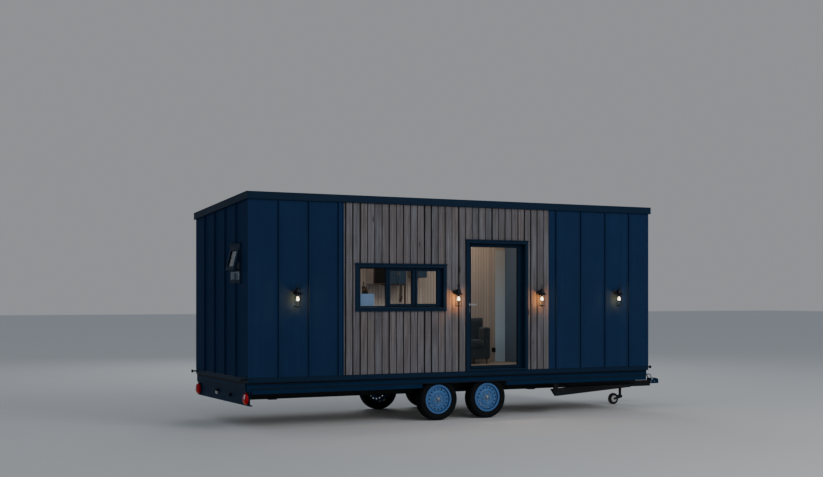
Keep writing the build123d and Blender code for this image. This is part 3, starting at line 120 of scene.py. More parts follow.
class TinyHouseFinishes(bpy.types.PropertyGroup):
    """Colours of the outside and the rooms."""

    navy: bpy.props.FloatVectorProperty(
        name="Navy sheet", description="Coat of the metal cladding",
        default=(0.0120, 0.0330, 0.0850), size=3, subtype="COLOR", min=0, max=1)
    frame: bpy.props.FloatVectorProperty(
        name="Navy frames", description="Powder coat of the frames, fascia and flashings",
        default=(0.0070, 0.0215, 0.0480), size=3, subtype="COLOR", min=0, max=1)
    timber_grey: bpy.props.FloatVectorProperty(
        name="Timber grey", description="Weathered tone of the boards",
        default=(0.163, 0.164, 0.186), size=3, subtype="COLOR", min=0, max=1)
    timber_brown: bpy.props.FloatVectorProperty(
        name="Timber brown", description="Less weathered tone of the boards",
        default=(0.176, 0.152, 0.148), size=3, subtype="COLOR", min=0, max=1)
    lining: bpy.props.FloatVectorProperty(
        name="Room lining", description="Boards on the walls of the room",
        default=(0.52, 0.46, 0.43), size=3, subtype="COLOR", min=0, max=1)
    rim: bpy.props.FloatVectorProperty(
        name="Wheel paint", description="Blue-grey paint of the steel wheels",
        default=(0.060, 0.175, 0.410), size=3, subtype="COLOR", min=0, max=1)
    chair: bpy.props.FloatVectorProperty(
        name="Chair cloth", description="Woven cloth of the armchair",
        default=(0.007, 0.017, 0.028), size=3, subtype="COLOR", min=0, max=1)
    glow: bpy.props.FloatVectorProperty(
        name="Lantern glow", description="Light of the lantern bulbs",
        default=(1.0, 0.34, 0.045), size=3, subtype="COLOR", min=0, max=1)


class TinyHouseBoards(bpy.types.PropertyGroup):
    """Sizes of the timber boards and of the room's lining."""

    first_gap: bpy.props.FloatProperty(
        name="First gap", description="From the panel's rear edge to the first gap",
        default=0.039, unit="LENGTH", min=0)
    pitch: bpy.props.FloatProperty(
        name="Pitch", description="From one gap to the next", default=0.12117, unit="LENGTH", min=0.02)
    gap: bpy.props.FloatProperty(
        name="Gap", description="Widest open joint between two boards", default=0.024, unit="LENGTH",
        min=0.001)
    thickness: bpy.props.FloatProperty(
        name="Thickness", description="Thickness of a board", default=0.020, unit="LENGTH", min=0.005)
    lining_pitch: bpy.props.FloatProperty(
        name="Lining pitch", description="Width of one lining board in the rooms", default=0.057,
        unit="LENGTH", min=0.02)


class TinyHouseTrims(bpy.types.PropertyGroup):
    """Sizes of the folded metal trims."""

    seam_cap: bpy.props.FloatProperty(
        name="Seam cap", description="Width of the folded cap on a standing seam", default=0.016,
        unit="LENGTH", min=0.012, max=0.03)
    corner_leaf: bpy.props.FloatProperty(
        name="Corner leaf", description="Width of a corner flashing on each side", default=0.040,
        unit="LENGTH", min=0.01)
    screw_pitch: bpy.props.FloatProperty(
        name="Screw pitch", description="From one screw to the next along the flashing", default=0.239,
        unit="LENGTH", min=0.05)


class TinyHouseStage(bpy.types.PropertyGroup):
    """Camera and studio."""

    eye: bpy.props.FloatVectorProperty(
        name="Camera place", description="The camera from the house's rear door-side corner, at ground level",
        default=(-5.855, -16.644, 1.918), size=3, subtype="TRANSLATION", unit="LENGTH")
    heading: bpy.props.FloatVectorProperty(
        name="Camera heading", description="Level direction that the camera looks along",
        default=(0.4546, 0.8907, 0.0), size=3, subtype="DIRECTION")
    focal: bpy.props.FloatProperty(
        name="Focal length", description="Lens, in millimetres on a 36 mm sensor", default=53.23, min=1)
    shift: bpy.props.FloatProperty(
        name="Lens shift", description="Vertical shift as a share of the frame's width", default=0.0719)
    lantern_power: bpy.props.FloatProperty(
        name="Lantern power", description="Light of one lantern", default=3.9, subtype="POWER", min=0)
    room_power: bpy.props.FloatProperty(
        name="Room power", description="Light of the room", default=27.0, subtype="POWER", min=0)


def finishes():
    return bpy.context.scene.tiny_house_finishes


def fascia_top(y):
    """Height of the fascia's top edge, which falls away from the door side."""
    return FASCIA_HIGH.z - ROOF_FALL * (y + OVERHANG)


def inset(span, by):
    """A pair of limits moved inwards, or outwards where the distance is negative."""
    return span[0] + by, span[1] - by


def wall_top(y):
    """Height where the fascia's foot covers the cladding."""
    return fascia_top(y) - FASCIA_DEPTH


# Meshes

def new_piece(name, bm, body, slot, *materials, smooth=None, stands_for=()):
    """Turns a bmesh into a finished object that rides on a body."""
    bmesh.ops.remove_doubles(bm, verts=bm.verts, dist=1e-6)
    bmesh.ops.recalc_face_normals(bm, faces=bm.faces)
    bmesh.ops.translate(bm, vec=CORNER, verts=bm.verts)
    mesh = bpy.data.meshes.new(name)
    bm.to_mesh(mesh)
    bm.free()
    piece = bpy.data.objects.new(name, mesh)
    bpy.context.scene.collection.objects.link(piece)
    for material in materials:
        mesh.materials.append(material)
    if smooth is not None:
        mesh.shade_smooth()
        mesh.set_sharp_from_angle(angle=math.radians(smooth))
    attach(piece, body)
    if stands_for:
        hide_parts(*stands_for)
    return piece


def stamp(bm, shape, *places, index=0):
    """Copies a small shape to each of the given places."""
    mesh = bpy.data.meshes.new("stamp")
    shape.to_mesh(mesh)
    shape.free()
    for face in mesh.polygons:
        face.material_index = index
    for place in places:
        copy = mesh.copy()
        copy.transform(place)
        bm.from_mesh(copy)
        bpy.data.meshes.remove(copy)
    bpy.data.meshes.remove(mesh)


def at(*point):
    return Matrix.Translation(point)


def turn(degrees, axis):
    return Matrix.Rotation(math.radians(degrees), 4, axis)


FACING = {"-y": turn(90, "X"), "+y": turn(-90, "X"), "-x": turn(-90, "Y"), "+x": turn(90, "Y"),
          "+z": Matrix.Identity(4), "-z": turn(180, "X")}


def bevel_edges(shape, edges, offset, segments=1):
    bmesh.ops.bevel(shape, geom=edges, offset=offset, segments=segments, profile=0.5,
                    affect="EDGES", material=-1, clamp_overlap=True)


def draw_out(shape, faces, depth):
    """Extrudes faces and moves the new ones along a vector."""
    made = bmesh.ops.extrude_face_region(shape, geom=faces)["geom"]
    moved = [vert for vert in made if isinstance(vert, bmesh.types.BMVert)]
    bmesh.ops.translate(shape, vec=depth, verts=moved)


def add_block(bm, low, high, bevel=0.0, segments=1, index=0):
    """A block between two corners, with its edges bevelled."""
    shape = bmesh.new()
    bmesh.ops.create_cube(shape, size=1.0)
    low, high = Vector(low), Vector(high)
    bmesh.ops.scale(shape, vec=high - low, verts=shape.verts)
    bmesh.ops.translate(shape, vec=(low + high) / 2, verts=shape.verts)
    if bevel:
        bevel_edges(shape, shape.edges[:], bevel, segments)
    stamp(bm, shape, Matrix.Identity(4), index=index)


def add_prism(bm, outline, depth, bevel=0.0):
    """A flat outline drawn out along a vector."""
    shape = bmesh.new()
    face = shape.faces.new([shape.verts.new(point) for point in outline])
    draw_out(shape, [face], depth)
    if bevel:
        bevel_edges(shape, shape.edges[:], bevel)
    stamp(bm, shape, Matrix.Identity(4))


def add_ring(bm, across, up, deep, width, axes="xzy", bevel=0.0, place=Matrix.Identity(4), index=0):
    """A four-sided frame: a rectangle inset by its width, opened and drawn back."""
    def corner(a, b, c):
        point = [0.0, 0.0, 0.0]
        for axis, value in zip(axes, (a, b, c)):
            point["xyz".index(axis)] = value
        return point

    shape = bmesh.new()
    pairs = ((across[0], up[0]), (across[1], up[0]), (across[1], up[1]), (across[0], up[1]))
    face = shape.faces.new([shape.verts.new(corner(a, b, deep[0])) for a, b in pairs])
    face.normal_update()
    rim = bmesh.ops.inset_region(shape, faces=[face], thickness=width, use_boundary=True,
                                 use_even_offset=True)["faces"]
    bmesh.ops.delete(shape, geom=[face], context="FACES")
    draw_out(shape, rim, corner(0, 0, deep[1] - deep[0]))
    if bevel:
        sharp = [e for e in shape.edges if len(e.link_faces) == 2 and e.calc_face_angle(0) > 1.0]
        bevel_edges(shape, sharp, bevel)
    stamp(bm, shape, place, index=index)


def add_cells(bm, x_cuts, z_cuts, kept, y_front, y_back, bevel=0.0):
    """A flat panel in the XZ plane, made of the kept cells of a grid and extruded back."""
    verts = {}
    faces = []
    for i in range(len(x_cuts) - 1):
        for k in range(len(z_cuts) - 1):
            if not kept((x_cuts[i] + x_cuts[i + 1]) / 2, (z_cuts[k] + z_cuts[k + 1]) / 2):
                continue
            corners = []
            for a, b in ((i, k), (i + 1, k), (i + 1, k + 1), (i, k + 1)):
                if (a, b) not in verts:
                    verts[a, b] = bm.verts.new((x_cuts[a], y_front, z_cuts[b]))
                corners.append(verts[a, b])
            faces.append(bm.faces.new(corners))
    border = [edge for face in faces for edge in face.edges if len(edge.link_faces) == 1]
    draw_out(bm, faces, (0, y_back - y_front, 0))
    if bevel:
        bevel_edges(bm, [edge for edge in border if edge.is_valid], bevel)


def add_fold(bm, section, along, start, length, z, bevel=0.0):
    """A folded section of (outward, up) points, drawn along X on the door side or along Y on an end."""
    if along == "x":
        outline = [(start, out, z + up) for out, up in section]
        add_prism(bm, outline, (length, 0, 0), bevel)
    else:
        outline = [(out, start, z + up) for out, up in section]
        add_prism(bm, outline, (0, length, 0), bevel)


def turned(profile, steps=32):
    """A profile of (radius, height) pairs spun about the vertical axis."""
    shape = bmesh.new()
    verts = [shape.verts.new((radius, 0.0, height)) for radius, height in profile]
    edges = [shape.edges.new(pair) for pair in zip(verts, verts[1:])]
    bmesh.ops.spin(shape, geom=verts + edges, cent=(0, 0, 0), axis=(0, 0, 1), angle=FULL_TURN,
                   steps=steps, use_merge=True)
    bmesh.ops.remove_doubles(shape, verts=shape.verts, dist=1e-6)
    bmesh.ops.recalc_face_normals(shape, faces=shape.faces)
    return shape


def rod(radius, length, segments=12):
    """A round bar that starts at the origin and runs up."""
    shape = bmesh.new()
    bmesh.ops.create_cone(shape, cap_ends=True, segments=segments, radius1=radius, radius2=radius,
                          depth=length, matrix=at(0, 0, length / 2))
    return shape


def add_rod(bm, start, end, radius, segments=12):
    start, end = Vector(start), Vector(end)
    along = end - start
    place = at(*start) @ along.to_track_quat("Z", "Y").to_matrix().to_4x4()
    stamp(bm, rod(radius, along.length, segments), place)


def screw(radius=0.0045, washer=0.0):
    """A pan-head screw, on a washer where it has one."""
    rise = 0.0012 if washer else 0.0
    profile = [(0, rise + 0.0026), (radius * 0.55, rise + 0.0024), (radius, rise + 0.0012), (radius, rise)]
    if washer:
        profile += [(washer, rise), (washer, 0)]
    return turned(profile, 10)


def hex_bolt(size, height, washer):
    """A hexagon bolt head on its washer, with a chamfered crown."""
    shape = turned([(washer, 0), (washer, height * 0.18), (0, height * 0.18)], 18)
    head = bmesh.new()
    bmesh.ops.create_cone(head, cap_ends=True, segments=6, radius1=size, radius2=size, depth=height,
                          matrix=at(0, 0, height / 2))
    top = [e for e in head.edges if all(v.co.z > height * 0.9 for v in e.verts)]
    bmesh.ops.bevel(head, geom=top, offset=size * 0.12, segments=1, profile=0.5, affect="EDGES", material=-1)
    stamp(shape, head, Matrix.Identity(4))
    return shape


# Node trees

def add_node(tree, kind, settings=None, **inputs):
    """A node with its settings and unlinked inputs; an input given as a socket is linked."""
    node = tree.nodes.new(kind)
    for key, value in (settings or {}).items():
        setattr(node, key, value)
    for key, value in inputs.items():
        numbered = key[0] == "i" and key[1:].isdigit()
        socket = node.inputs[int(key[1:])] if numbered else node.inputs[key.replace("_", " ")]
        if isinstance(value, bpy.types.NodeSocket):
            tree.links.new(value, socket)
        else:
            socket.default_value = value
    return node


def maths(tree, operation, a, b=0.0, c=0.0, clamp=False):
    settings = {"operation": operation, "use_clamp": clamp}
    return add_node(tree, "ShaderNodeMath", settings, i0=a, i1=b, i2=c).outputs[0]


def plus(tree, a, b):
    return maths(tree, "ADD", a, b)


def minus(tree, a, b, clamp=False):
    return maths(tree, "SUBTRACT", a, b, clamp=clamp)


def times(tree, a, b, clamp=False):
    return maths(tree, "MULTIPLY", a, b, clamp=clamp)


def times_plus(tree, a, b, c, clamp=False):
    """a * b + c"""
    return maths(tree, "MULTIPLY_ADD", a, b, c, clamp)


def mix_colour(tree, factor, a, b, blend="MIX"):
    node = add_node(tree, "ShaderNodeMix", {"data_type": "RGBA", "blend_type": blend})
    for index, value in ((0, factor), (6, a), (7, b)):
        if isinstance(value, bpy.types.NodeSocket):
            tree.links.new(value, node.inputs[index])
        else:
            node.inputs[index].default_value = value
    return node.outputs[2]


def ramp(tree, factor, *stops):
    """A colour ramp with stops given as (place, colour)."""
    node = add_node(tree, "ShaderNodeValToRGB", Fac=factor)
    elements = node.color_ramp.elements
    while len(elements) < len(stops):
        elements.new(0.5)
    for element, (place, colour) in zip(elements, stops):
        element.position = place
        element.color = colour if len(colour) == 4 else (*colour, 1.0)
    return node.outputs["Color"]


def grey(value):
    return (value, value, value, 1.0)


def rgba(colour, factor=1.0):
    return (*(min(1.0, channel * factor) for channel in colour), 1.0)


def object_coordinates(tree):
    return add_node(tree, "ShaderNodeTexCoord").outputs["Object"]


def stretched(tree, vector, scale):
    return add_node(tree, "ShaderNodeMapping", Vector=vector, Scale=scale).outputs[0]


def noise(tree, vector, scale, detail=3.0, roughness=0.5):
    return add_node(tree, "ShaderNodeTexNoise", Vector=vector, Scale=scale, Detail=detail,
                    Roughness=roughness).outputs["Fac"]


def parts_of(tree, vector):
    node = add_node(tree, "ShaderNodeSeparateXYZ", Vector=vector)
    return node.outputs[0], node.outputs[1], node.outputs[2]


def between(tree, value, low, high):
    """1 between two values, 0 outside them."""
    return times(tree, maths(tree, "GREATER_THAN", value, low), maths(tree, "LESS_THAN", value, high))


def random_step(tree, number):
    """A value from 0 to 1 that stays the same for each whole number."""
    return add_node(tree, "ShaderNodeTexWhiteNoise", {"noise_dimensions": "1D"}, W=number).outputs["Value"]


def material(name, build, **shader_values):
    """A material whose build function links colours, roughness and bump into one shader."""
    made = bpy.data.materials.get(name + "_finish")
    if made:
        return made
    made = bpy.data.materials.new(name + "_finish")
    made.use_nodes = True
    tree = made.node_tree
    shader = tree.nodes["Principled BSDF"]
    for key, value in shader_values.items():
        shader.inputs[key.replace("_", " ")].default_value = value
    build(tree, shader)
    return made


def plug(tree, shader, **links):
    for key, value in links.items():
        socket = shader.inputs[key.replace("_", " ")]
        if isinstance(value, bpy.types.NodeSocket):
            tree.links.new(value, socket)
        else:
            socket.default_value = value


def bump(tree, height, strength, distance):
    return add_node(tree, "ShaderNodeBump", Height=height, Strength=strength, Distance=distance).outputs[0]


# Effects that several materials share

def effect(name, inputs, outputs, build):
    """A shader node group, made once."""
    group = bpy.data.node_groups.get(name)
    if group:
        return group
    group = bpy.data.node_groups.new(name, "ShaderNodeTree")
    for label, value in inputs:
        kind = "NodeSocketColor" if isinstance(value, tuple) else "NodeSocketFloat"
        group.interface.new_socket(label, in_out="INPUT", socket_type=kind).default_value = value
    for label, kind in outputs:
        group.interface.new_socket(label, in_out="OUTPUT", socket_type="NodeSocket" + kind)
    given = group.nodes.new("NodeGroupInput").outputs
    results = build(group, given)
    out = group.nodes.new("NodeGroupOutput")
    for (label, kind), value in zip(outputs, results):
        group.links.new(value, out.inputs[label])
    return group


def apply_effect(tree, group, **inputs):
    return add_node(tree, "ShaderNodeGroup", {"node_tree": group}, **inputs).outputs


def uneven_tone():
    """Slow and fine changes of tone in one coat or cloth."""
    def build(tree, given):
        place = object_coordinates(tree)
        slow = noise(tree, place, given["Scale"], 3.0, 0.55)
        fine = noise(tree, place, times(tree, given["Scale"], 9.0), 4.0, 0.6)
        both = times_plus(tree, fine, 0.35, times(tree, slow, 0.65))
        shade = times_plus(tree, minus(tree, both, 0.5), given["Spread"], 1.0)
        level = add_node(tree, "ShaderNodeCombineColor", Red=shade, Green=shade, Blue=shade).outputs[0]
        return mix_colour(tree, 1.0, given["Colour"], level, "MULTIPLY"), both
    return effect("uneven_tone", (("Colour", grey(0.5)), ("Scale", 4.0), ("Spread", 0.4)),
                  (("Colour", "Color"), ("Tone", "Float")), build)


def road_dust():
    """Dust and dried splashes that thin out with height above the road."""
    def build(tree, given):
        place = object_coordinates(tree)
        z = parts_of(tree, place)[2]
        low = minus(tree, 1.0, maths(tree, "DIVIDE", z, given["Reach"]), clamp=True)
        splash = noise(tree, stretched(tree, place, (26.0, 26.0, 11.0)), 1.0, 5.0, 0.7)
        film = noise(tree, place, 2.6, 3.0)
        spots = ramp(tree, splash, (0.48, grey(0)), (0.66, grey(1)))
        share = times(tree, low, times_plus(tree, spots, 0.75, times(tree, film, 0.5)))
        share = times(tree, share, given["Amount"], clamp=True)
        return mix_colour(tree, share, given["Colour"], given["Dust"]), share
    return effect("road_dust", (("Colour", grey(0.1)), ("Dust", (0.085, 0.08, 0.07, 1.0)), ("Reach", 0.9),
                                ("Amount", 0.4)),
                  (("Colour", "Color"), ("Dust share", "Float")), build)


def worn_edges():
    """A paler, polished line along edges, broken up by noise."""
    def build(tree, given):
        place = object_coordinates(tree)
        bent = add_node(tree, "ShaderNodeBevel", {"samples": 4}, Radius=given["Width"]).outputs[0]
        flat = add_node(tree, "ShaderNodeNewGeometry").outputs["Normal"]
        same = add_node(tree, "ShaderNodeVectorMath", {"operation": "DOT_PRODUCT"}, i0=bent,
                        i1=flat).outputs["Value"]
        edge = times(tree, minus(tree, 1.0, same), 6.0, clamp=True)
        broken = ramp(tree, noise(tree, place, 38.0, 4.0, 0.65), (0.38, grey(0.15)), (0.62, grey(1)))
        share = times(tree, times(tree, edge, broken), given["Amount"], clamp=True)
        return mix_colour(tree, share, given["Colour"], given["Worn"]), share
    return effect("worn_edges",
                  (("Colour", grey(0.1)), ("Worn", grey(0.3)), ("Width", 0.002), ("Amount", 0.5)),
                  (("Colour", "Color"), ("Wear", "Float")), build)


def wood_grain():
    """Long fibres, wavy figure and knots along a board that stands upright or lies."""
    def build(tree, given):
        place = object_coordinates(tree)
        x, y, z = parts_of(tree, place)
        drift = times(tree, given["Board"], 3.7)
        upright = add_node(tree, "ShaderNodeCombineXYZ", X=plus(tree, x, y), Y=drift, Z=z).outputs[0]
        fibres = noise(tree, stretched(tree, upright, (110.0, 1.0, 2.0)), 1.0, 6.0, 0.65)
        warp = noise(tree, stretched(tree, upright, (6.0, 1.0, 1.1)), 1.0, 2.0)
        wavy = times_plus(tree, warp, 14.0, times(tree, plus(tree, x, y), 95.0))
        figure = times_plus(tree, maths(tree, "SINE", plus(tree, wavy, drift)), 0.5, 0.5)
        spots = add_node(tree, "ShaderNodeTexVoronoi", Vector=stretched(tree, upright, (8.0, 1.0, 1.7)),
                         Scale=1.0).outputs["Distance"]
        knots = ramp(tree, spots, (0.05, grey(1)), (0.12, grey(0)))
        patches = noise(tree, stretched(tree, upright, (5.0, 1.0, 1.3)), 1.0, 3.0)
        return fibres, figure, knots, patches
    return effect("wood_grain", (("Board", 0.0),),
                  (("Fibres", "Float"), ("Figure", "Float"), ("Knots", "Float"), ("Patches", "Float")), build)


def board_joints():
    """Which board of a row a point lies on, and where the joints are."""
    def build(tree, given):
        share = maths(tree, "DIVIDE", given["Along"], given["Pitch"])
        edge = maths(tree, "ABSOLUTE", minus(tree, maths(tree, "FRACT", share), 0.5))
        limit = minus(tree, 0.5, maths(tree, "DIVIDE", given["Width"], times(tree, given["Pitch"], 2.0)))
        number = maths(tree, "FLOOR", share)
        return maths(tree, "GREATER_THAN", edge, limit), number, random_step(tree, number)
    return effect("board_joints", (("Along", 0.0), ("Pitch", 0.1), ("Width", 0.004)),
                  (("Joint", "Float"), ("Number", "Float"), ("Each", "Float")), build)


def fine_texture():
    """The relief of orange peel, sand or pores, as a normal."""
    def build(tree, given):
        relief = noise(tree, object_coordinates(tree), given["Scale"], 3.0, 0.6)
        node = add_node(tree, "ShaderNodeBump", Height=relief, Strength=given["Strength"], Distance=0.001)
        return (node.outputs[0],)
    return effect("fine_texture", (("Scale", 400.0), ("Strength", 0.1)), (("Normal", "Vector"),), build)


# Finishes

def navy_sheet(tree, shader):
    """Matt coil-coated sheet: slow tone changes, faint runs, a dusty foot and slight waviness."""
    place = object_coordinates(tree)
    navy = finishes().navy
    base = apply_effect(tree, uneven_tone(), Colour=rgba(navy), Scale=0.8, Spread=0.5)["Colour"]
    runs = noise(tree, stretched(tree, place, (16.0, 16.0, 0.4)), 1.0, 4.0, 0.6)
    base = mix_colour(tree, ramp(tree, runs, (0.5, grey(0)), (0.8, grey(0.4))), base, rgba(navy, 1.5))
    dusty = apply_effect(tree, road_dust(), Colour=base, Dust=(0.030, 0.045, 0.060, 1.0), Reach=1.25,
                         Amount=0.14)
    canning = noise(tree, stretched(tree, place, (1.8, 1.8, 0.6)), 1.5, 1.0)
    rough = times_plus(tree, runs, 0.14, 0.46)
    plug(tree, shader, Base_Color=dusty["Colour"], Normal=bump(tree, canning, 0.22, 0.02),
         Roughness=times_plus(tree, dusty["Dust share"], 0.3, rough))


def navy_frame(tree, shader):
    """Powder coat with a fine texture, rubbed paler along its edges."""
    coat = finishes().frame
    toned = apply_effect(tree, uneven_tone(), Colour=rgba(coat), Scale=4.0, Spread=0.4)
    base = apply_effect(tree, worn_edges(), Colour=toned["Colour"], Worn=rgba(coat, 3.0), Width=0.0025,
                        Amount=0.4)
    plug(tree, shader, Base_Color=base["Colour"], Roughness=times_plus(tree, toned["Tone"], 0.14, 0.36),
         Normal=apply_effect(tree, fine_texture(), Scale=700.0, Strength=0.12)["Normal"])


def weathered_boards(tree, shader):
    """Grey-brown boards: a tone for each board, fibres, figure, knots and a bleached foot."""
    place = object_coordinates(tree)
    x, _, z = parts_of(tree, place)
    boards = bpy.context.scene.tiny_house_boards
    start = CORNER.x + TIMBER_LOW.x + boards.first_gap
    along = minus(tree, x, start)
    row = apply_effect(tree, board_joints(), Along=along, Pitch=boards.pitch, Width=boards.gap)
    grain = apply_effect(tree, wood_grain(), Board=row["Number"])
    colours = finishes()
    pale, brown = colours.timber_grey, colours.timber_brown
    base = mix_colour(tree, row["Each"], rgba(pale, 0.84), rgba(brown, 1.30))
    base = mix_colour(tree, ramp(tree, grain["Patches"], (0.42, grey(0)), (0.64, grey(0.8))), base,
                      rgba(pale, 1.45))
    base = mix_colour(tree, times(tree, grain["Figure"], 0.40), base, rgba(brown, 0.60))
    base = mix_colour(tree, ramp(tree, grain["Fibres"], (0.42, grey(0)), (0.7, grey(0.85))), base,
                      rgba(brown, 0.36))
    base = mix_colour(tree, times(tree, grain["Knots"], 0.9), base, (0.030, 0.020, 0.016, 1.0))
    foot = times_plus(tree, z, -1.4, 2.0, clamp=True)
    base = mix_colour(tree, times(tree, foot, 0.25), base, rgba(pale, 0.8))
    height = times_plus(tree, grain["Fibres"], 0.7, times(tree, grain["Figure"], 0.25))
    plug(tree, shader, Base_Color=base, Normal=bump(tree, height, 0.5, 0.0025),
         Roughness=times_plus(tree, grain["Fibres"], 0.2, 0.7))


def dark_membrane(tree, shader):
    """The battens and membrane in the gaps: black, with some gaps stained brown."""
    place = object_coordinates(tree)
    x = parts_of(tree, place)[0]
    boards = bpy.context.scene.tiny_house_boards
    start = CORNER.x + TIMBER_LOW.x + boards.first_gap - boards.pitch / 2
    row = apply_effect(tree, board_joints(), Along=minus(tree, x, start), Pitch=boards.pitch)
    stain = maths(tree, "GREATER_THAN", row["Each"], 0.55)
    weave = noise(tree, place, 300.0)
    base = mix_colour(tree, weave, grey(0.004), grey(0.010))
    base = mix_colour(tree, times(tree, stain, 0.8), base, (0.050, 0.032, 0.026, 1.0))
    plug(tree, shader, Base_Color=base, Roughness=0.9)


def lining_boards(tree, shader):
    """Pale upright boards, each with its own tone."""
    x, y, _ = parts_of(tree, object_coordinates(tree))
    boards = bpy.context.scene.tiny_house_boards
    row = apply_effect(tree, board_joints(), Along=plus(tree, x, y), Pitch=boards.lining_pitch, Width=0.004)
    grain = apply_effect(tree, wood_grain(), Board=row["Number"])
    lining = finishes().lining
    base = mix_colour(tree, row["Each"], rgba(lining, 0.86), rgba(lining, 1.1))
    base = mix_colour(tree, times(tree, grain["Figure"], 0.28), base, rgba(lining, 0.72))
    base = mix_colour(tree, times(tree, grain["Fibres"], 0.3), base, rgba(lining, 0.6))
    base = mix_colour(tree, row["Joint"], base, rgba(lining, 0.45))
    plug(tree, shader, Base_Color=base, Roughness=times_plus(tree, grain["Fibres"], 0.12, 0.45),
         Normal=bump(tree, minus(tree, 1.0, row["Joint"]), 0.5, 0.003))


def plank_floor(tree, shader):
    place = object_coordinates(tree)
    y = parts_of(tree, place)[1]
    row = apply_effect(tree, board_joints(), Along=y, Pitch=0.18, Width=0.003)
    fibres = noise(tree, stretched(tree, place, (2.0, 60.0, 60.0)), 1.0, 5.0, 0.6)
    base = mix_colour(tree, fibres, (0.30, 0.25, 0.21, 1.0), (0.46, 0.40, 0.35, 1.0))
    base = mix_colour(tree, times(tree, row["Each"], 0.4), base, (0.28, 0.23, 0.19, 1.0))
    base = mix_colour(tree, row["Joint"], base, (0.10, 0.08, 0.07, 1.0))
    plug(tree, shader, Base_Color=base, Roughness=times_plus(tree, fibres, 0.15, 0.38),
         Normal=bump(tree, fibres, 0.2, 0.001))


def dusty_paint(colour, rough, dust=0.5, wear=0.35):
    """Painted steel with worn edges that gathers dust near the ground."""
    def build(tree, shader):
        toned = apply_effect(tree, uneven_tone(), Colour=rgba(colour), Scale=3.0, Spread=0.7)
        worn = apply_effect(tree, worn_edges(), Colour=toned["Colour"], Worn=rgba(colour, 3.5), Width=0.002,
                            Amount=wear)
        dusty = apply_effect(tree, road_dust(), Colour=worn["Colour"], Dust=(0.045, 0.043, 0.040, 1.0),
                             Reach=0.8,
                             Amount=dust)
        plug(tree, shader, Base_Color=dusty["Colour"],
             Roughness=times_plus(tree, dusty["Dust share"], 0.35, rough),
             Normal=apply_effect(tree, fine_texture(), Scale=300.0, Strength=0.2)["Normal"])
    return build


def zinc(tree, shader):
    """Hot-dip zinc with its spangle."""
    place = object_coordinates(tree)
    spangle = add_node(tree, "ShaderNodeTexVoronoi", Vector=place, Scale=90.0).outputs["Color"]
    level = add_node(tree, "ShaderNodeRGBToBW", Color=spangle).outputs[0]
    base = mix_colour(tree, level, (0.20, 0.22, 0.25, 1.0), (0.38, 0.41, 0.45, 1.0))
    dusty = apply_effect(tree, road_dust(), Colour=base, Reach=0.7, Amount=0.3)
    plug(tree, shader, Base_Color=dusty["Colour"], Roughness=times_plus(tree, level, 0.2, 0.34))


def wheel_paint(tree, shader):
    """Blue-grey paint on the wheel's face, with painted shade: the drum and barrel behind the vents are
    coloured near-black.
    """
    place = object_coordinates(tree)
    x, y, z = parts_of(tree, place)
    rim = finishes().rim
    toned = apply_effect(tree, uneven_tone(), Colour=rgba(rim), Scale=14.0, Spread=0.35)
    dusty = apply_effect(tree, road_dust(), Colour=toned["Colour"], Dust=(0.10, 0.11, 0.12, 1.0), Reach=0.9,
                         Amount=0.35)
    middle = CORNER.y + WIDTH / 2
    outward = maths(tree, "ABSOLUTE", minus(tree, y, middle))
    face = CORNER.y + WIDTH - WHEEL_CENTRE + HUB_FACE - middle
    # Painted shade: the parts further in than the hub face, apart from the flange, are coloured near-black.
    painted_shade_inside = maths(tree, "LESS_THAN", outward, face - 0.0075)
    flange = between(tree, radius_from_axle(tree, x, z), 0.17, 0.3)
    flange = times(tree, flange, maths(tree, "GREATER_THAN", outward, face - HUB_FACE))
    painted_shade_inside = times(tree, painted_shade_inside, minus(tree, 1.0, flange))
    base = mix_colour(tree, painted_shade_inside, dusty["Colour"], grey(0.004))
    plug(tree, shader, Base_Color=base, Roughness=times_plus(tree, toned["Tone"], 0.16, 0.34))


def radius_from_axle(tree, x, z):
    """Distance in the side view from the nearer axle's centre."""
    fore = maths(tree, "ABSOLUTE", minus(tree, x, CORNER.x + AXLES["front"]))
    aft = maths(tree, "ABSOLUTE", minus(tree, x, CORNER.x + AXLES["rear"]))
    level = maths(tree, "MINIMUM", fore, aft)
    rise = minus(tree, z, TYRE_RADIUS)
    squares = plus(tree, times(tree, level, level), times(tree, rise, rise))
    return maths(tree, "SQRT", squares)


def rubber(tree, shader):
    toned = apply_effect(tree, uneven_tone(), Colour=(0.0032, 0.0042, 0.0062, 1.0), Scale=6.0, Spread=0.6)
    dusty = apply_effect(tree, road_dust(), Colour=toned["Colour"], Dust=(0.018, 0.018, 0.018, 1.0),
                         Reach=0.7,
                         Amount=0.4)
    plug(tree, shader, Base_Color=dusty["Colour"], Roughness=times_plus(tree, toned["Tone"], 0.15, 0.66),
         Normal=apply_effect(tree, fine_texture(), Scale=420.0, Strength=0.25)["Normal"])


def jockey_rubber(tree, shader):
    """The jockey wheel: a pale moulded hub inside its solid tyre."""
    place = object_coordinates(tree)
    x, _, z = parts_of(tree, place)
    low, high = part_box("jockey_wheel")
    across = minus(tree, x, (low[0] + high[0]) / 2)
    rise = minus(tree, z, (low[2] + high[2]) / 2)
    squares = plus(tree, times(tree, across, across), times(tree, rise, rise))
    radius = maths(tree, "SQRT", squares)
    hub = between(tree, radius, 0.014, 0.0585)
    toned = apply_effect(tree, uneven_tone(), Colour=(0.011, 0.012, 0.014, 1.0), Scale=9.0, Spread=0.6)
    base = mix_colour(tree, hub, toned["Colour"], (0.30, 0.33, 0.37, 1.0))
    dusty = apply_effect(tree, road_dust(), Colour=base, Dust=(0.05, 0.048, 0.045, 1.0), Reach=0.5,
                         Amount=0.3)
    plug(tree, shader, Base_Color=dusty["Colour"], Roughness=times_plus(tree, hub, -0.2, 0.65))


def clear_glass(tree, shader):
    smear = noise(tree, object_coordinates(tree), 3.0, 4.0)
    plug(tree, shader, Base_Color=(0.93, 0.97, 0.97, 1.0), Roughness=times(tree, smear, 0.012))


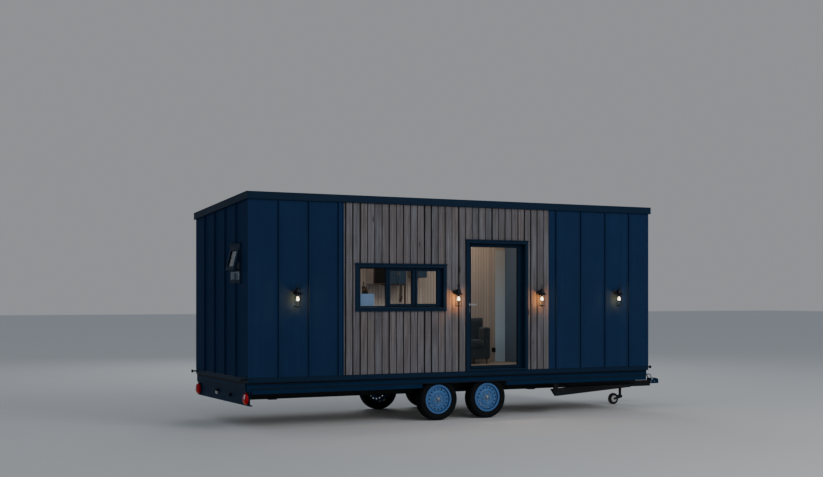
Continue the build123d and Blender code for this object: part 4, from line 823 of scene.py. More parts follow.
def satin_metal(tree, shader):
    place = object_coordinates(tree)
    brushed = noise(tree, stretched(tree, place, (12.0, 300.0, 300.0)), 1.0, 3.0)
    base = mix_colour(tree, brushed, grey(0.40), grey(0.56))
    plug(tree, shader, Base_Color=base, Roughness=times_plus(tree, brushed, 0.12, 0.20))


def lens_zones(tree, shader):
    """A round rear lamp: red above, amber below and a clear reversing zone at the top outer side."""
    place = object_coordinates(tree)
    _, y, z = parts_of(tree, place)
    low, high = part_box("tail_lamps")
    level = maths(tree, "DIVIDE", minus(tree, z, low[2]), high[2] - low[2])
    middle = (low[1] + high[1]) / 2
    outward = minus(tree, maths(tree, "ABSOLUTE", minus(tree, y, middle)),
                    (high[1] - low[1]) / 2 - 0.083)
    amber = times(tree, maths(tree, "LESS_THAN", level, 0.34),
                  maths(tree, "LESS_THAN", maths(tree, "ABSOLUTE", outward), 0.034))
    clear = times(tree, between(tree, level, 0.50, 0.86), between(tree, outward, 0.016, 0.046))
    base = mix_colour(tree, amber, (0.46, 0.003, 0.010, 1.0), (0.85, 0.10, 0.006, 1.0))
    base = mix_colour(tree, times(tree, clear, minus(tree, 1.0, amber)), base,
                      (0.85, 0.88, 0.92, 1.0))
    prisms = add_node(tree, "ShaderNodeTexVoronoi", Vector=place, Scale=130.0).outputs["Distance"]
    plug(tree, shader, Base_Color=base, Roughness=times_plus(tree, prisms, 0.08, 0.1),
         Normal=bump(tree, prisms, 0.25, 0.002))


def painted_panel(colour, rough, spread=0.25):
    """Smooth painted board, metal or moulded plastic."""
    def build(tree, shader):
        toned = apply_effect(tree, uneven_tone(), Colour=rgba(colour), Scale=3.0, Spread=spread)
        plug(tree, shader, Base_Color=toned["Colour"],
             Roughness=times_plus(tree, toned["Tone"], 0.12, rough),
             Normal=apply_effect(tree, fine_texture(), Scale=520.0, Strength=0.08)["Normal"])
    return build


def pale_paint_with_painted_cool_light(tree, shader):
    """Cool white paint with painted cool light: bright bluish white low down, turning a neutral pale grey
    towards the ceiling.
    """
    z = parts_of(tree, object_coordinates(tree))[2]
    # Painted cool light: the colour runs from bright bluish white at 1.25 m to pale grey at 2.55 m.
    high = times_plus(tree, z, 1 / 1.3, -1.25 / 1.3, clamp=True)
    pale = mix_colour(tree, high, (0.56, 0.76, 1.0, 1.0), (0.44, 0.47, 0.50, 1.0))
    toned = apply_effect(tree, uneven_tone(), Colour=pale, Scale=3.0, Spread=0.12)
    plug(tree, shader, Base_Color=toned["Colour"], Roughness=times_plus(tree, toned["Tone"], 0.1, 0.4))


def walnut(tree, shader):
    """Dark brown veneer."""
    grain = apply_effect(tree, wood_grain(), Board=2.0)
    base = mix_colour(tree, grain["Figure"], (0.040, 0.018, 0.010, 1.0), (0.075, 0.036, 0.020, 1.0))
    base = mix_colour(tree, times(tree, grain["Fibres"], 0.6), base, (0.022, 0.010, 0.006, 1.0))
    plug(tree, shader, Base_Color=base, Roughness=times_plus(tree, grain["Fibres"], 0.15, 0.35))


def woven_cloth(tree, shader):
    """Plain weave: warp and weft a millimetre apart, with mottled yarn."""
    place = object_coordinates(tree)
    x, y, z = parts_of(tree, place)
    pitch = FULL_TURN / 0.0022
    level = plus(tree, maths(tree, "SINE", times(tree, plus(tree, x, y), pitch)),
                  maths(tree, "SINE", times(tree, minus(tree, z, y), pitch)))
    threads = times_plus(tree, level, 0.25, 0.5)
    chair = finishes().chair
    toned = apply_effect(tree, uneven_tone(), Colour=rgba(chair), Scale=6.0, Spread=0.9)["Colour"]
    base = mix_colour(tree, threads, toned, rgba(chair, 1.6))
    plug(tree, shader, Base_Color=base, Roughness=0.9, Normal=bump(tree, threads, 0.4, 0.0012))


def bottle_glass(tree, shader):
    """Dark bottle glass with an amber label band."""
    z = parts_of(tree, object_coordinates(tree))[2]
    label = between(tree, z, SHELF_TOP + 0.05, SHELF_TOP + 0.10)
    base = mix_colour(tree, label, (0.008, 0.010, 0.012, 1.0), (0.060, 0.032, 0.014, 1.0))
    plug(tree, shader, Base_Color=base, Roughness=times_plus(tree, label, 0.4, 0.12))


def lit_filament(tree, shader):
    """A frosted bulb, hottest at its belly."""
    place = object_coordinates(tree)
    z = parts_of(tree, place)[2]
    low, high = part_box("lantern_bulbs")
    level = maths(tree, "DIVIDE", minus(tree, z, low[2]), high[2] - low[2], clamp=True)
    flicker = noise(tree, place, 40.0)
    hot = mix_colour(tree, flicker, (1.0, 0.78, 0.52, 1.0), (1.0, 0.84, 0.60, 1.0))
    colour = mix_colour(tree, ramp(tree, level, (0.45, grey(0)), (0.8, grey(1))), hot,
                        (0.30, 0.12, 0.04, 1.0))
    plug(tree, shader, Base_Color=(0.9, 0.8, 0.6, 1.0), Emission_Color=colour)


# Each finish: what builds it, and the values set on the shader's own sockets
FINISHES = {
    "navy_metal": (navy_sheet, dict(Specular_IOR_Level=0.012)),
    "navy_frame": (navy_frame, dict(Specular_IOR_Level=0.06)),
    "roof_sheet": (navy_sheet, dict(Specular_IOR_Level=0.05)),
    "weathered_timber": (weathered_boards, dict(Specular_IOR_Level=0.25)),
    "membrane": (dark_membrane, dict(Specular_IOR_Level=0.1)),
    "wall_lining": (lining_boards, dict(Specular_IOR_Level=0.3)),
    "deck_board": (plank_floor, {}),
    "clear_glass": (clear_glass, dict(Transmission_Weight=1.0, IOR=1.14)),
    "rear_glass": (clear_glass, dict(Transmission_Weight=1.0, IOR=1.6, Specular_IOR_Level=0.9)),
    "satin_steel": (satin_metal, dict(Metallic=1.0)),
    "lantern_black": (dusty_paint((0.005, 0.008, 0.014), 0.42, 0.0, 0.3), dict(Specular_IOR_Level=0.3)),
    "lit_bulb": (lit_filament, dict(Emission_Strength=6.0, Roughness=0.4)),
    "chassis_steel": (dusty_paint((0.004, 0.024, 0.062), 0.45, 0.10, 0.4), dict(Specular_IOR_Level=0.04)),
    "axle_steel": (dusty_paint((0.0025, 0.004, 0.0065), 0.55, 0.25, 0.4), dict(Specular_IOR_Level=0.2)),
    "galvanised": (zinc, dict(Metallic=0.85)),
    "rim_silver": (wheel_paint, dict(Metallic=0.2, Specular_IOR_Level=0.3)),
    "tyre": (rubber, dict(Specular_IOR_Level=0.15)),
    "solid_rubber": (rubber, dict(Specular_IOR_Level=0.25)),
    "jockey_rubber": (jockey_rubber, dict(Specular_IOR_Level=0.3)),
    "lamp_red": (lens_zones, dict(Specular_IOR_Level=0.12)),
    "gasket": (painted_panel((0.006, 0.006, 0.007), 0.6), dict(Specular_IOR_Level=0.2)),
    "partition_panel": (painted_panel((0.105, 0.160, 0.250), 0.5), {}),
    "cabinet_blue": (painted_panel((0.006, 0.030, 0.070), 0.45), {}),
    "cabinet_black": (painted_panel((0.0012, 0.0014, 0.0020), 0.5), dict(Specular_IOR_Level=0.15)),
    "walnut": (walnut, {}),
    "pale_paint_with_painted_cool_light": (pale_paint_with_painted_cool_light, dict(Specular_IOR_Level=0.3)),
    "fridge_white": (painted_panel((0.13, 0.25, 0.50), 0.3, 0.12), {}),
    "chair_fabric": (woven_cloth, dict(Sheen_Weight=0.25, Sheen_Roughness=0.5)),
    "bottle": (bottle_glass, dict(Specular_IOR_Level=0.3)),
    "white_plastic": (painted_panel((0.52, 0.52, 0.50), 0.35, 0.1), {}),
}


def finish(name):
    build, values = FINISHES[name]
    return material(name, build, **values)


# Operators

class TINYHOUSE_OT_finish_frame(bpy.types.Operator):
    """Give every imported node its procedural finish, and let light through the panes."""

    bl_idname = "tinyhouse.finish_frame"
    bl_label = "Finish the packed pieces"

    def execute(self, context):
        slots = {part["node"]: part["material_slot"] for part in frame["record"]["subparts"]}
        slots.update(jockey_wheel="jockey_rubber", rear_window_glass="rear_glass", roof_fascia="navy_frame",
                     base_flashing="navy_frame")
        for name, node in frame["nodes"].items():
            node.data.materials.clear()
            node.data.materials.append(finish(slots[name]))
        for name in ("window_glass", "door_glass", "rear_window_glass", "lantern_glass"):
            frame["nodes"][name].visible_shadow = False
        return {"FINISHED"}


class TINYHOUSE_OT_sheet_trims(bpy.types.Operator):
    """Fold the caps, corners, hems and edge trims of the metal cladding, and screw them on."""

    bl_idname = "tinyhouse.sheet_trims"
    bl_label = "Metal trims"

    def execute(self, context):
        trims = context.scene.tiny_house_trims
        navy, coat = finish("navy_metal"), finish("navy_frame")
        half = trims.seam_cap / 2
        inner, outer = 0.014, 0.0268

        bm = bmesh.new()
        for x in FRONT_SEAMS:
            add_block(bm, (x - half, -outer, SILL), (x + half, -inner, wall_top(0) - 0.001), 0.002, 2)
        for x in BACK_SEAMS:
            add_block(bm, (x - half, WIDTH + inner, SILL), (x + half, WIDTH + outer, wall_top(WIDTH) - 0.003),
                      0.002, 2)
        for x0, x1 in ((-outer, -inner), (LENGTH + inner, LENGTH + outer)):
            for y in END_SEAMS:
                spans = [(SILL, wall_top(y) - 0.002)]
                if x0 < 0 and REAR_LOW.y < y < REAR_HIGH.y:
                    spans = [(SILL, REAR_LOW.z), (REAR_HIGH.z + 0.006, wall_top(y) - 0.002)]
                for z0, z1 in spans:
                    add_block(bm, (x0, y - half, z0), (x1, y + half, z1), 0.002, 2)
        new_piece("seam_caps", bm, "house", "navy_metal", navy)

        bm = bmesh.new()
        leaf, skin = trims.corner_leaf, 0.0015
        for x, y in ((0, 0), (LENGTH, 0), (LENGTH, WIDTH), (0, WIDTH)):
            a, b = (1 if x == 0 else -1), (1 if y == 0 else -1)
            points = ((-skin, -skin), (leaf, -skin), (leaf, 0), (0, 0), (0, leaf), (-skin, leaf))
            add_prism(bm, [(x + a * p, y + b * q, SILL) for p, q in points],
                      (0, 0, wall_top(y) - SILL - 0.004))
        for x in (TIMBER_LOW.x, TIMBER_HIGH.x):
            add_block(bm, (x - TRIM_HALF, -0.008, SILL), (x + TRIM_HALF, 0.020, wall_top(0) - 0.001), 0.0015)
        new_piece("corner_trims", bm, "house", "navy_metal", navy)

        bm = bmesh.new()
        for edge, z0, z1 in ((0.007, BODY_LOW.z, BODY_LOW.z + 0.004), (0.004, SILL - 0.001, SILL + 0.005)):
            add_ring(bm, (-edge, LENGTH + edge), (-edge, WIDTH + edge), (z0, z1), edge + 0.004, axes="xyz",
                     bevel=0.001)
        new_piece("flashing_hems", bm, "house", "navy_metal", coat)

        bm = bmesh.new()
        out, proud = OVERHANG, 0.003
        for drop0, drop1 in ((0.0, 0.012), (FASCIA_DEPTH - 0.012, FASCIA_DEPTH)):
            high, low = fascia_top(-out) - drop0, fascia_top(-out) - drop1
            add_block(bm, (-out - proud, -out - proud, low - 0.0005),
                      (LENGTH + out + proud, -out + 0.002, high - 0.0005),
                      0.0012)
            for x in (-out - proud, LENGTH + out + proud - 0.005):
                ends = [(x, y, fascia_top(y) - drop) for y, drop in
                        ((-out, drop1), (WIDTH + out, drop1), (WIDTH + out, drop0 + 0.0005),
                         (-out, drop0 + 0.0005))]
                add_prism(bm, ends, (0.005, 0, 0))
        for x in (LENGTH / 3, LENGTH * 2 / 3):
            top = fascia_top(-out)
            add_block(bm, (x - 0.03, -out - 0.002, top - FASCIA_DEPTH + 0.012),
                      (x + 0.03, -out + 0.001, top - 0.012), 0.0008)
        new_piece("fascia_hems", bm, "house", "navy_metal", coat)

        bm = bmesh.new()
        count = int((LENGTH - 0.24) / trims.screw_pitch)
        places = []
        for step in range(count + 1):
            x = 0.12 + (LENGTH - 0.24) * step / count
            places += [at(x, 0, SILL - 0.022) @ FACING["-y"], at(x, WIDTH, SILL - 0.022) @ FACING["+y"]]
        for step in range(9):
            y = 0.25 + (WIDTH - 0.5) * step / 8
            places += [at(0, y, SILL - 0.022) @ FACING["-x"], at(LENGTH, y, SILL - 0.022) @ FACING["+x"]]
        stamp(bm, screw(0.004, 0.0065), *places)
        new_piece("flashing_screws", bm, "house", "navy_metal", coat, smooth=40)
        return {"FINISHED"}


class TINYHOUSE_OT_timber_boards(bpy.types.Operator):
    """Lay and screw the upright timber boards over their dark membrane."""

    bl_idname = "tinyhouse.timber_boards"
    bl_label = "Timber boards"

    def execute(self, context):
        boards = context.scene.tiny_house_boards
        front, back = TIMBER_LOW.y, TIMBER_HIGH.y
        holes = [(WINDOW_LOW, WINDOW_HIGH), (DOOR_LOW, DOOR_HIGH)]

        def kept(x, z):
            return not any(low.x < x < high.x and low.z < z < high.z for low, high in holes)

        z_cuts = sorted({TIMBER_LOW.z + 0.001, WINDOW_LOW.z, WINDOW_HIGH.z, DOOR_HIGH.z, wall_top(0) - 0.001})
        x_holes = sorted({edge.x for hole in holes for edge in hole})
        bm = bmesh.new()
        screws = []
        edge = TIMBER_LOW.x + TRIM_HALF
        gap = TIMBER_LOW.x + boards.first_gap
        widths = random.Random(7)
        while edge < TIMBER_HIGH.x - boards.gap - TRIM_HALF:
            half = boards.gap * widths.choice((0.26, 0.40, 0.50, 0.50))
            end = min(gap - half, TIMBER_HIGH.x - TRIM_HALF)
            x_cuts = [edge] + [x for x in x_holes if edge < x < end] + [end]
            add_cells(bm, x_cuts, z_cuts, kept, front + 0.0005, front + boards.thickness, bevel=0.002)
            for x in inset((edge, end), SCREW_INSET):
                for z in BOARD_SCREWS:
                    if end - edge > 0.06 and kept(x, z) and kept(x - 0.012, z) and kept(x + 0.012, z):
                        screws.append(at(x, front + 0.0003, z) @ FACING["-y"])
            edge = gap + half
            gap += boards.pitch
        new_piece("timber_boards", bm, "house", "weathered_timber", finish("weathered_timber"),
                  stands_for=("timber_cladding",))

        bm = bmesh.new()
        x_cuts = [TIMBER_LOW.x, *x_holes, TIMBER_HIGH.x]
        add_cells(bm, x_cuts, [*z_cuts[:-1], TIMBER_HIGH.z - 0.002], kept, front + boards.thickness + 0.001,
                  back)
        new_piece("timber_membrane", bm, "house", "weathered_timber", finish("membrane"))

        bm = bmesh.new()
        stamp(bm, turned([(0, 0.0004), (0.0024, 0.0004), (0.0040, 0.0010), (0.0040, 0)], 8), *screws)
        new_piece("board_screws", bm, "house", "satin_steel", finish("galvanised"), smooth=40)
        return {"FINISHED"}


class TINYHOUSE_OT_window_fittings(bpy.types.Operator):
    """Fit the band window's beads, gaskets, sill, head flashing, handles and inner architrave."""

    bl_idname = "tinyhouse.window_fittings"
    bl_label = "Band window"

    def execute(self, context):
        navy, black = finish("navy_frame"), finish("gasket")
        casing = 0.055
        light = (1.780, 2.372)
        low_light = light[0]
        x0, x1 = WINDOW_LOW.x + casing, WINDOW_HIGH.x - casing
        z0, z1 = WINDOW_LOW.z + casing, WINDOW_HIGH.z - casing
        stile, face, glass = 0.030, 0.050, 0.063
        sashes = ((2.262, 2.710), (2.730, 3.144))
        panes = [((1.790, 2.236), light)]
        panes += [(inset(sash, stile), inset(light, stile)) for sash in sashes]

        bm = bmesh.new()
        for across, up in panes:
            add_ring(bm, across, up, (face - 0.003, glass - 0.0005), 0.009, bevel=0.0015)
        for sash in sashes:
            add_ring(bm, inset(sash, 0.002), inset(light, 0.002), (face - 0.010, face + 0.001),
                     stile - 0.004, bevel=0.002)
        for x, wide in ((1.7495, 0.038), (x1 - 0.045, 0.0445)):
            add_block(bm, (x, face - 0.004, z0), (x + wide, face + 0.001, z1), 0.001)
        new_piece("window_beads", bm, "house", "navy_frame", navy)

        bm = bmesh.new()
        for across, up in panes:
            add_ring(bm, inset(across, 0.008), inset(up, 0.008), (glass - 0.005, glass - 0.0003), 0.006)
        for sash in sashes:
            add_ring(bm, inset(sash, -0.003), inset(light, -0.003), (face - 0.003, face - 0.0003), 0.006)
        new_piece("window_gaskets", bm, "house", "navy_frame", black)

        bm = bmesh.new()
        add_fold(bm, SILL_FOLD, "x", x0, x1 - x0, z0)
        add_fold(bm, HEAD_FOLD, "x", WINDOW_LOW.x - HEAD_OVERLAP,
                 WINDOW_HIGH.x - WINDOW_LOW.x + 2 * HEAD_OVERLAP, WINDOW_HIGH.z)
        for x in (1.95, 2.47, 2.99):
            add_block(bm, (x - 0.018, -0.0225, WINDOW_LOW.z + 0.012),
                      (x + 0.018, -0.019, WINDOW_LOW.z + 0.020), 0.001)
        new_piece("window_sill", bm, "house", "navy_frame", navy)

        bm = bmesh.new()
        for a, b in sashes:
            x = (a + b) / 2
            add_block(bm, (x - 0.028, 0.100, low_light + 0.006), (x + 0.028, 0.108, low_light + 0.024), 0.003,
                      2)
            add_block(bm, (x - 0.008, 0.106, low_light + 0.008), (x + 0.008, 0.130, low_light + 0.022), 0.003,
                      2)
            add_block(bm, (x - 0.010, 0.124, low_light + 0.009), (x + 0.085, 0.134, low_light + 0.021), 0.004,
                      2)
        new_piece("window_handles", bm, "house", "satin_steel", finish("satin_steel"), smooth=40)

        bm = bmesh.new()
        add_ring(bm, inset((WINDOW_LOW.x, WINDOW_HIGH.x), -0.045),
                 inset((WINDOW_LOW.z, WINDOW_HIGH.z), -0.045),
                 (WALL, WALL + 0.014), 0.070, bevel=0.003)
        new_piece("window_architrave", bm, "house", "wall_lining", finish("wall_lining"))

        bm = bmesh.new()
        add_block(bm, (x0 + 0.006, 0.1012, z0 + 0.006), (x1 - 0.006, 0.158, z0 + 0.030), 0.003)
        new_piece("window_board", bm, "house", "wall_lining", finish("pale_paint_with_painted_cool_light"))
        return {"FINISHED"}


class TINYHOUSE_OT_door_fittings(bpy.types.Operator):
    """Fit the door's beads, gaskets, lock, weather bar, threshold and head flashing."""

    bl_idname = "tinyhouse.door_fittings"
    bl_label = "Entrance door"

    def execute(self, context):
        navy, black, steel = finish("navy_frame"), finish("gasket"), finish("satin_steel")
        x0, x1, z0, z1 = 3.655, 4.688, 0.786, 2.775
        stile, rail = 0.070, 0.038
        across, up = inset((x0, x1), stile), inset((z0, z1), rail)

        bm = bmesh.new()
        add_ring(bm, across, up, (LEAF_OUT - 0.004, 0.0857), 0.011, bevel=0.002)
        add_ring(bm, across, up, (0.1103, LEAF_IN + 0.004), 0.011, bevel=0.002)
        add_prism(bm, [(x0 + 0.010, LEAF_OUT, z0 + 0.032), (x0 + 0.010, LEAF_OUT - 0.014, z0 + 0.020),
                       (x0 + 0.010, LEAF_OUT - 0.014, z0 + 0.012), (x0 + 0.010, LEAF_OUT, z0 + 0.012)],
                  (x1 - x0 - 0.020, 0, 0), 0.001)
        new_piece("door_beads", bm, "door", "navy_frame", navy)

        bm = bmesh.new()
        inner = inset(across, 0.010), inset(up, 0.010)
        add_ring(bm, *inner, (0.0800, 0.0858), 0.006)
        add_ring(bm, *inner, (0.1102, 0.1160), 0.006)
        add_ring(bm, inset((x0, x1), 0.001), inset((z0, z1), 0.001), (0.0718, 0.0759), 0.009, bevel=0.001)
        new_piece("door_gaskets", bm, "door", "navy_frame", black)

        bm = bmesh.new()
        lock_x, handle_z = 3.690, SILL + HANDLE_HEIGHT
        lock_z = handle_z - 0.088
        add_block(bm, (3.674, LEAF_OUT - 0.003, lock_z - 0.045),
                  (3.706, LEAF_OUT + 0.001, handle_z + 0.045), 0.0012, 2)
        for y, side in ((LEAF_OUT, "-y"), (LEAF_IN, "+y")):
            plate = turned([(0, 0.005), (0.017, 0.005), (0.020, 0.003), (0.0205, 0)], 32)
            stamp(bm, plate, at(lock_x, y, lock_z) @ FACING[side])
            stamp(bm, turned([(0, 0.0095), (0.0075, 0.0095), (0.0085, 0.0085), (0.0085, 0.002)], 24),
                  at(lock_x, y, lock_z) @ FACING[side])
            add_block(bm, (3.6885, y - 0.0105 if side == "-y" else y, lock_z - 0.005),
                      (3.6915, y if side == "-y" else y + 0.0105, lock_z + 0.005), 0.0005)
            stamp(bm,
                  turned([(0, 0.0095), (0.018, 0.0095), (0.0245, 0.0080), (0.026, 0.004), (0.026, 0)], 40),
                  at(lock_x, y, handle_z) @ FACING[side])
        new_piece("door_lock", bm, "door", "satin_steel", steel, smooth=35)

        bm = bmesh.new()
        add_block(bm, (3.652, -0.024, SILL + 0.0240), (4.691, 0.056, SILL + 0.0265), 0.0008)
        for step in range(6):
            y = -0.016 + step * 0.012
            add_block(bm, (3.653, y, SILL + 0.0262), (4.690, y + 0.004, SILL + 0.0285), 0.0006)
        add_block(bm, (3.652, -0.0255, SILL + 0.006), (4.691, -0.0195, SILL + 0.0265), 0.0012)
        new_piece("door_threshold", bm, "house", "navy_frame", navy)

        bm = bmesh.new()
        add_fold(bm, HEAD_FOLD, "x", DOOR_LOW.x - HEAD_OVERLAP,
                 DOOR_HIGH.x - DOOR_LOW.x + 2 * HEAD_OVERLAP, DOOR_HIGH.z)
        new_piece("door_head_flashing", bm, "house", "navy_frame", navy)
        return {"FINISHED"}


class TINYHOUSE_OT_rear_window(bpy.types.Operator):
    """Fit the tilted rear sash's beads, gaskets and handle, the frame's flashings and reveal, and the
    lining and blind of the fixed lower light."""

    bl_idname = "tinyhouse.rear_window"
    bl_label = "Rear window"

    def execute(self, context):
        navy, black = finish("navy_frame"), finish("gasket")
        y0, y1, casing = REAR_LOW.y, REAR_HIGH.y, 0.045
        tilt = at(-0.020, 0, REAR_HIGH.z - casing - 0.0003) @ turn(REAR_SASH_TILT, "Y")
        length, thick, stile = 0.355, 0.045, 0.047
        pane = ((y0 + casing + stile, y1 - casing - stile), (-length + stile, -stile))

        bm = bmesh.new()
        add_ring(bm, *pane, (-0.003, 0.0102), 0.009, axes="yzx", bevel=0.0015, place=tilt)
        add_ring(bm, *pane, (0.0348, thick + 0.003), 0.009, axes="yzx", bevel=0.0015, place=tilt)
        opening = inset((y0, y1), casing)
        lower = opening, (REAR_LOW.z + casing, REAR_TRANSOM)
        add_fold(bm, HEAD_FOLD, "y", y0 - HEAD_OVERLAP, y1 - y0 + 2 * HEAD_OVERLAP, REAR_HIGH.z)
        add_fold(bm, REAR_SILL_FOLD, "y", y0 + casing, y1 - y0 - 2 * casing, REAR_LOW.z + casing)
        new_piece("rear_window_beads", bm, "house", "navy_frame", navy)

        bm = bmesh.new()
        height = (REAR_LOW.z, REAR_HIGH.z)
        add_ring(bm, inset(opening, 0.0003), inset(inset(height, casing), 0.0003), (0.063, WALL - 0.0005),
                 0.004,
                 axes="yzx", bevel=0.0006)
        add_ring(bm, inset((y0, y1), -0.025), inset(height, -0.025), (WALL, WALL + 0.012), 0.055,
                 axes="yzx", bevel=0.002)
        add_ring(bm, *lower, (-0.0190, 0.0218), 0.003, axes="yzx", bevel=0.0008)
        add_ring(bm, *lower, (0.022, 0.0375), 0.010, axes="yzx", bevel=0.0015)
        blind = inset(opening, 0.005)
        for near, far in ((blind[0], 0.6410), (0.6450, blind[1])):
            add_block(bm, (0.0660, near, REAR_LOW.z + casing + 0.005), (0.0690, far, REAR_TRANSOM), 0.0008)
        new_piece("rear_window_reveal", bm, "house", "wall_lining", finish("pale_paint_with_painted_cool_light"))

        bm = bmesh.new()
        for deep in ((0.0050, 0.0104), (0.0346, 0.0400)):
            add_ring(bm, inset(pane[0], 0.008), inset(pane[1], 0.008), deep, 0.006, axes="yzx", place=tilt)
        add_ring(bm, inset(opening, 0.006), (-length + 0.004, -0.006), (thick - 0.0005, thick + 0.004), 0.010,
                 axes="yzx", place=tilt)
        new_piece("rear_window_gaskets", bm, "house", "navy_frame", black)

        bm = bmesh.new()
        middle = (y0 + y1) / 2
        for deep, across, up in (((0.0, 0.008), (-0.030, 0.030), (0.012, 0.034)),
                                 ((0.006, 0.030), (-0.008, 0.008), (0.014, 0.032)),
                                 ((0.022, 0.032), (-0.010, 0.080), (0.016, 0.030))):
            part = bmesh.new()
            low, high = ((thick + deep[end], middle + across[end], -length + up[end]) for end in (0, 1))
            add_block(part, low, high, 0.003, 2)
            stamp(bm, part, tilt)
        pin = turned([(0, 0.003), (0.004, 0.003), (0.006, 0.0015), (0.006, 0)], 16)
        stays = ((y0 + casing + 0.0043, "+y"), (y1 - casing - 0.0043, "-y"))
        pins = [at(x, y, z) @ FACING[side] for y, side in stays for x,
                z in ((-0.0375, 2.442), (0.080, 2.482))]
        stamp(bm, pin, *pins)
        new_piece("rear_window_handle", bm, "house", "satin_steel", finish("satin_steel"), smooth=40)
        return {"FINISHED"}


class TINYHOUSE_OT_lanterns(bpy.types.Operator):
    """Turn the lanterns' caps, bars, loops, arms and bulbs, in place of their plain solids."""

    bl_idname = "tinyhouse.lanterns"
    bl_label = "Wall lanterns"

    def execute(self, context):
        black = finish("lantern_black")
        places = [at(x, -LANTERN_REACH, LANTERN_FOOT) for x in LANTERNS]
        brim = 0.186
        cap = turned([
            (0, brim), (0.079, brim), (0.0815, brim + 0.0008), (0.0825, brim + 0.0025),
            (0.0815, brim + 0.0045),
            (0.074, brim + 0.0085), (0.060, brim + 0.0165), (0.048, brim + 0.0205), (0.0435, brim + 0.0225),
            (0.0425, brim + 0.0245), (0.0435, brim + 0.0265), (0.0422, brim + 0.029), (0.0415, brim + 0.045),
            (0.0400, brim + 0.060), (0.0360, brim + 0.072), (0.0300, brim + 0.0805), (0.0220, brim + 0.087),
            (0.0135, brim + 0.0912), (0.0100, brim + 0.0925), (0.0100, brim + 0.0965),
            (0.0060, brim + 0.0975),
            (0, brim + 0.0975)], 56)
        foot = turned([(0, 0), (0.012, 0), (0.012, -0.004), (0.008, -0.010), (0, -0.012)], 24)
        plate = turned([(0, 0), (0.048, 0), (0.0505, 0.0015), (0.0505, 0.0110), (0.0490, 0.0130),
                        (0.0435, 0.0130),
                        (0.0430, 0.0055), (0.0300, 0.0055), (0.0290, 0.0058), (0, 0.0058)], 48)
        collar = turned([(0.0388, brim - 0.010), (0.0450, brim - 0.010), (0.0450, brim), (0.0388, brim)], 48)
        socket = turned([(0, brim), (0.0135, brim), (0.0135, brim - 0.014), (0.0150, brim - 0.016),
                         (0.0150, brim - 0.030), (0.0130, brim - 0.033), (0, brim - 0.033)], 28)
        bm = bmesh.new()
        for shape in (cap, foot, plate, collar, socket):
            stamp(bm, shape, *places)
        bars = [at(math.cos(angle) * 0.0462, math.sin(angle) * 0.0462, 0.004)
                for angle in (math.pi / 4 + quarter * math.pi / 2 for quarter in range(4))]
        stamp(bm, rod(0.0026, brim - 0.004, 10), *[place @ bar for place in places for bar in bars])
        arm_z, wall = brim + 0.040, LANTERN_REACH - 0.009
        stamp(bm, rod(0.0070, wall - 0.036, 16),
              *[place @ at(0, 0.036, arm_z) @ FACING["+y"] for place in places])
        rose = turned([(0, 0), (0.0378, 0), (0.0380, 0.002), (0.0365, 0.0045), (0.0330, 0.0060),
                       (0.0180, 0.0085),
                       (0.0110, 0.0150), (0.0085, 0.0200), (0, 0.0200)], 40)
        stamp(bm, rose, *[place @ at(0, LANTERN_REACH - 0.0002, arm_z) @ FACING["-y"] for place in places])
        heads = [place @ at(0, LANTERN_REACH - 0.0050, arm_z + z) @ FACING["-y"] for place in places
                 for z in (-0.027, 0.027)]
        stamp(bm, screw(0.0032), *heads)
        new_piece("lantern_frames", bm, "house", "lantern_black", black, smooth=38,
                  stands_for=("lantern_metal",))

        line = bpy.data.curves.new("lantern_loops", "CURVE")
        line.dimensions = "3D"
        line.bevel_depth = 0.0046
        line.bevel_resolution = 3
        line.resolution_u = 10
        outline = ((0.0, 0.0015), (0.0105, 0.010), (0.0205, 0.030), (0.0215, 0.047), (0.0125, 0.0605),
                   (0.0, 0.0625), (-0.0125, 0.0605), (-0.0215, 0.047), (-0.0205, 0.030), (-0.0105, 0.010))
        for x in LANTERNS:
            spline = line.splines.new("NURBS")
            spline.points.add(len(outline) - 1)
            for point, (across, up) in zip(spline.points, outline):
                z = LANTERN_FOOT + brim + 0.0975 + up
                point.co = (*(CORNER + Vector((x + across * 1.12, -LANTERN_REACH, z))), 1.0)
            spline.order_u = 3
            spline.use_cyclic_u = True
        loops = bpy.data.objects.new("lantern_loops", line)
        context.scene.collection.objects.link(loops)
        line.materials.append(black)
        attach(loops, "house")

        bm = bmesh.new()
        bulb = turned([(0, 0.0900), (0.0070, 0.0906), (0.0135, 0.0932), (0.0185, 0.0980), (0.0212, 0.1045),
                       (0.0218, 0.1110),
                       (0.0205, 0.1190), (0.0175, 0.1285), (0.0145, 0.1380), (0.0130, 0.1470),
                       (0.0126, 0.1560)], 36)
        stamp(bm, bulb, *places)
        new_piece("lantern_lamps", bm, "house", "lit_bulb", finish("lit_bulb"), smooth=60,
                  stands_for=("lantern_bulbs",)).visible_shadow = False
        return {"FINISHED"}


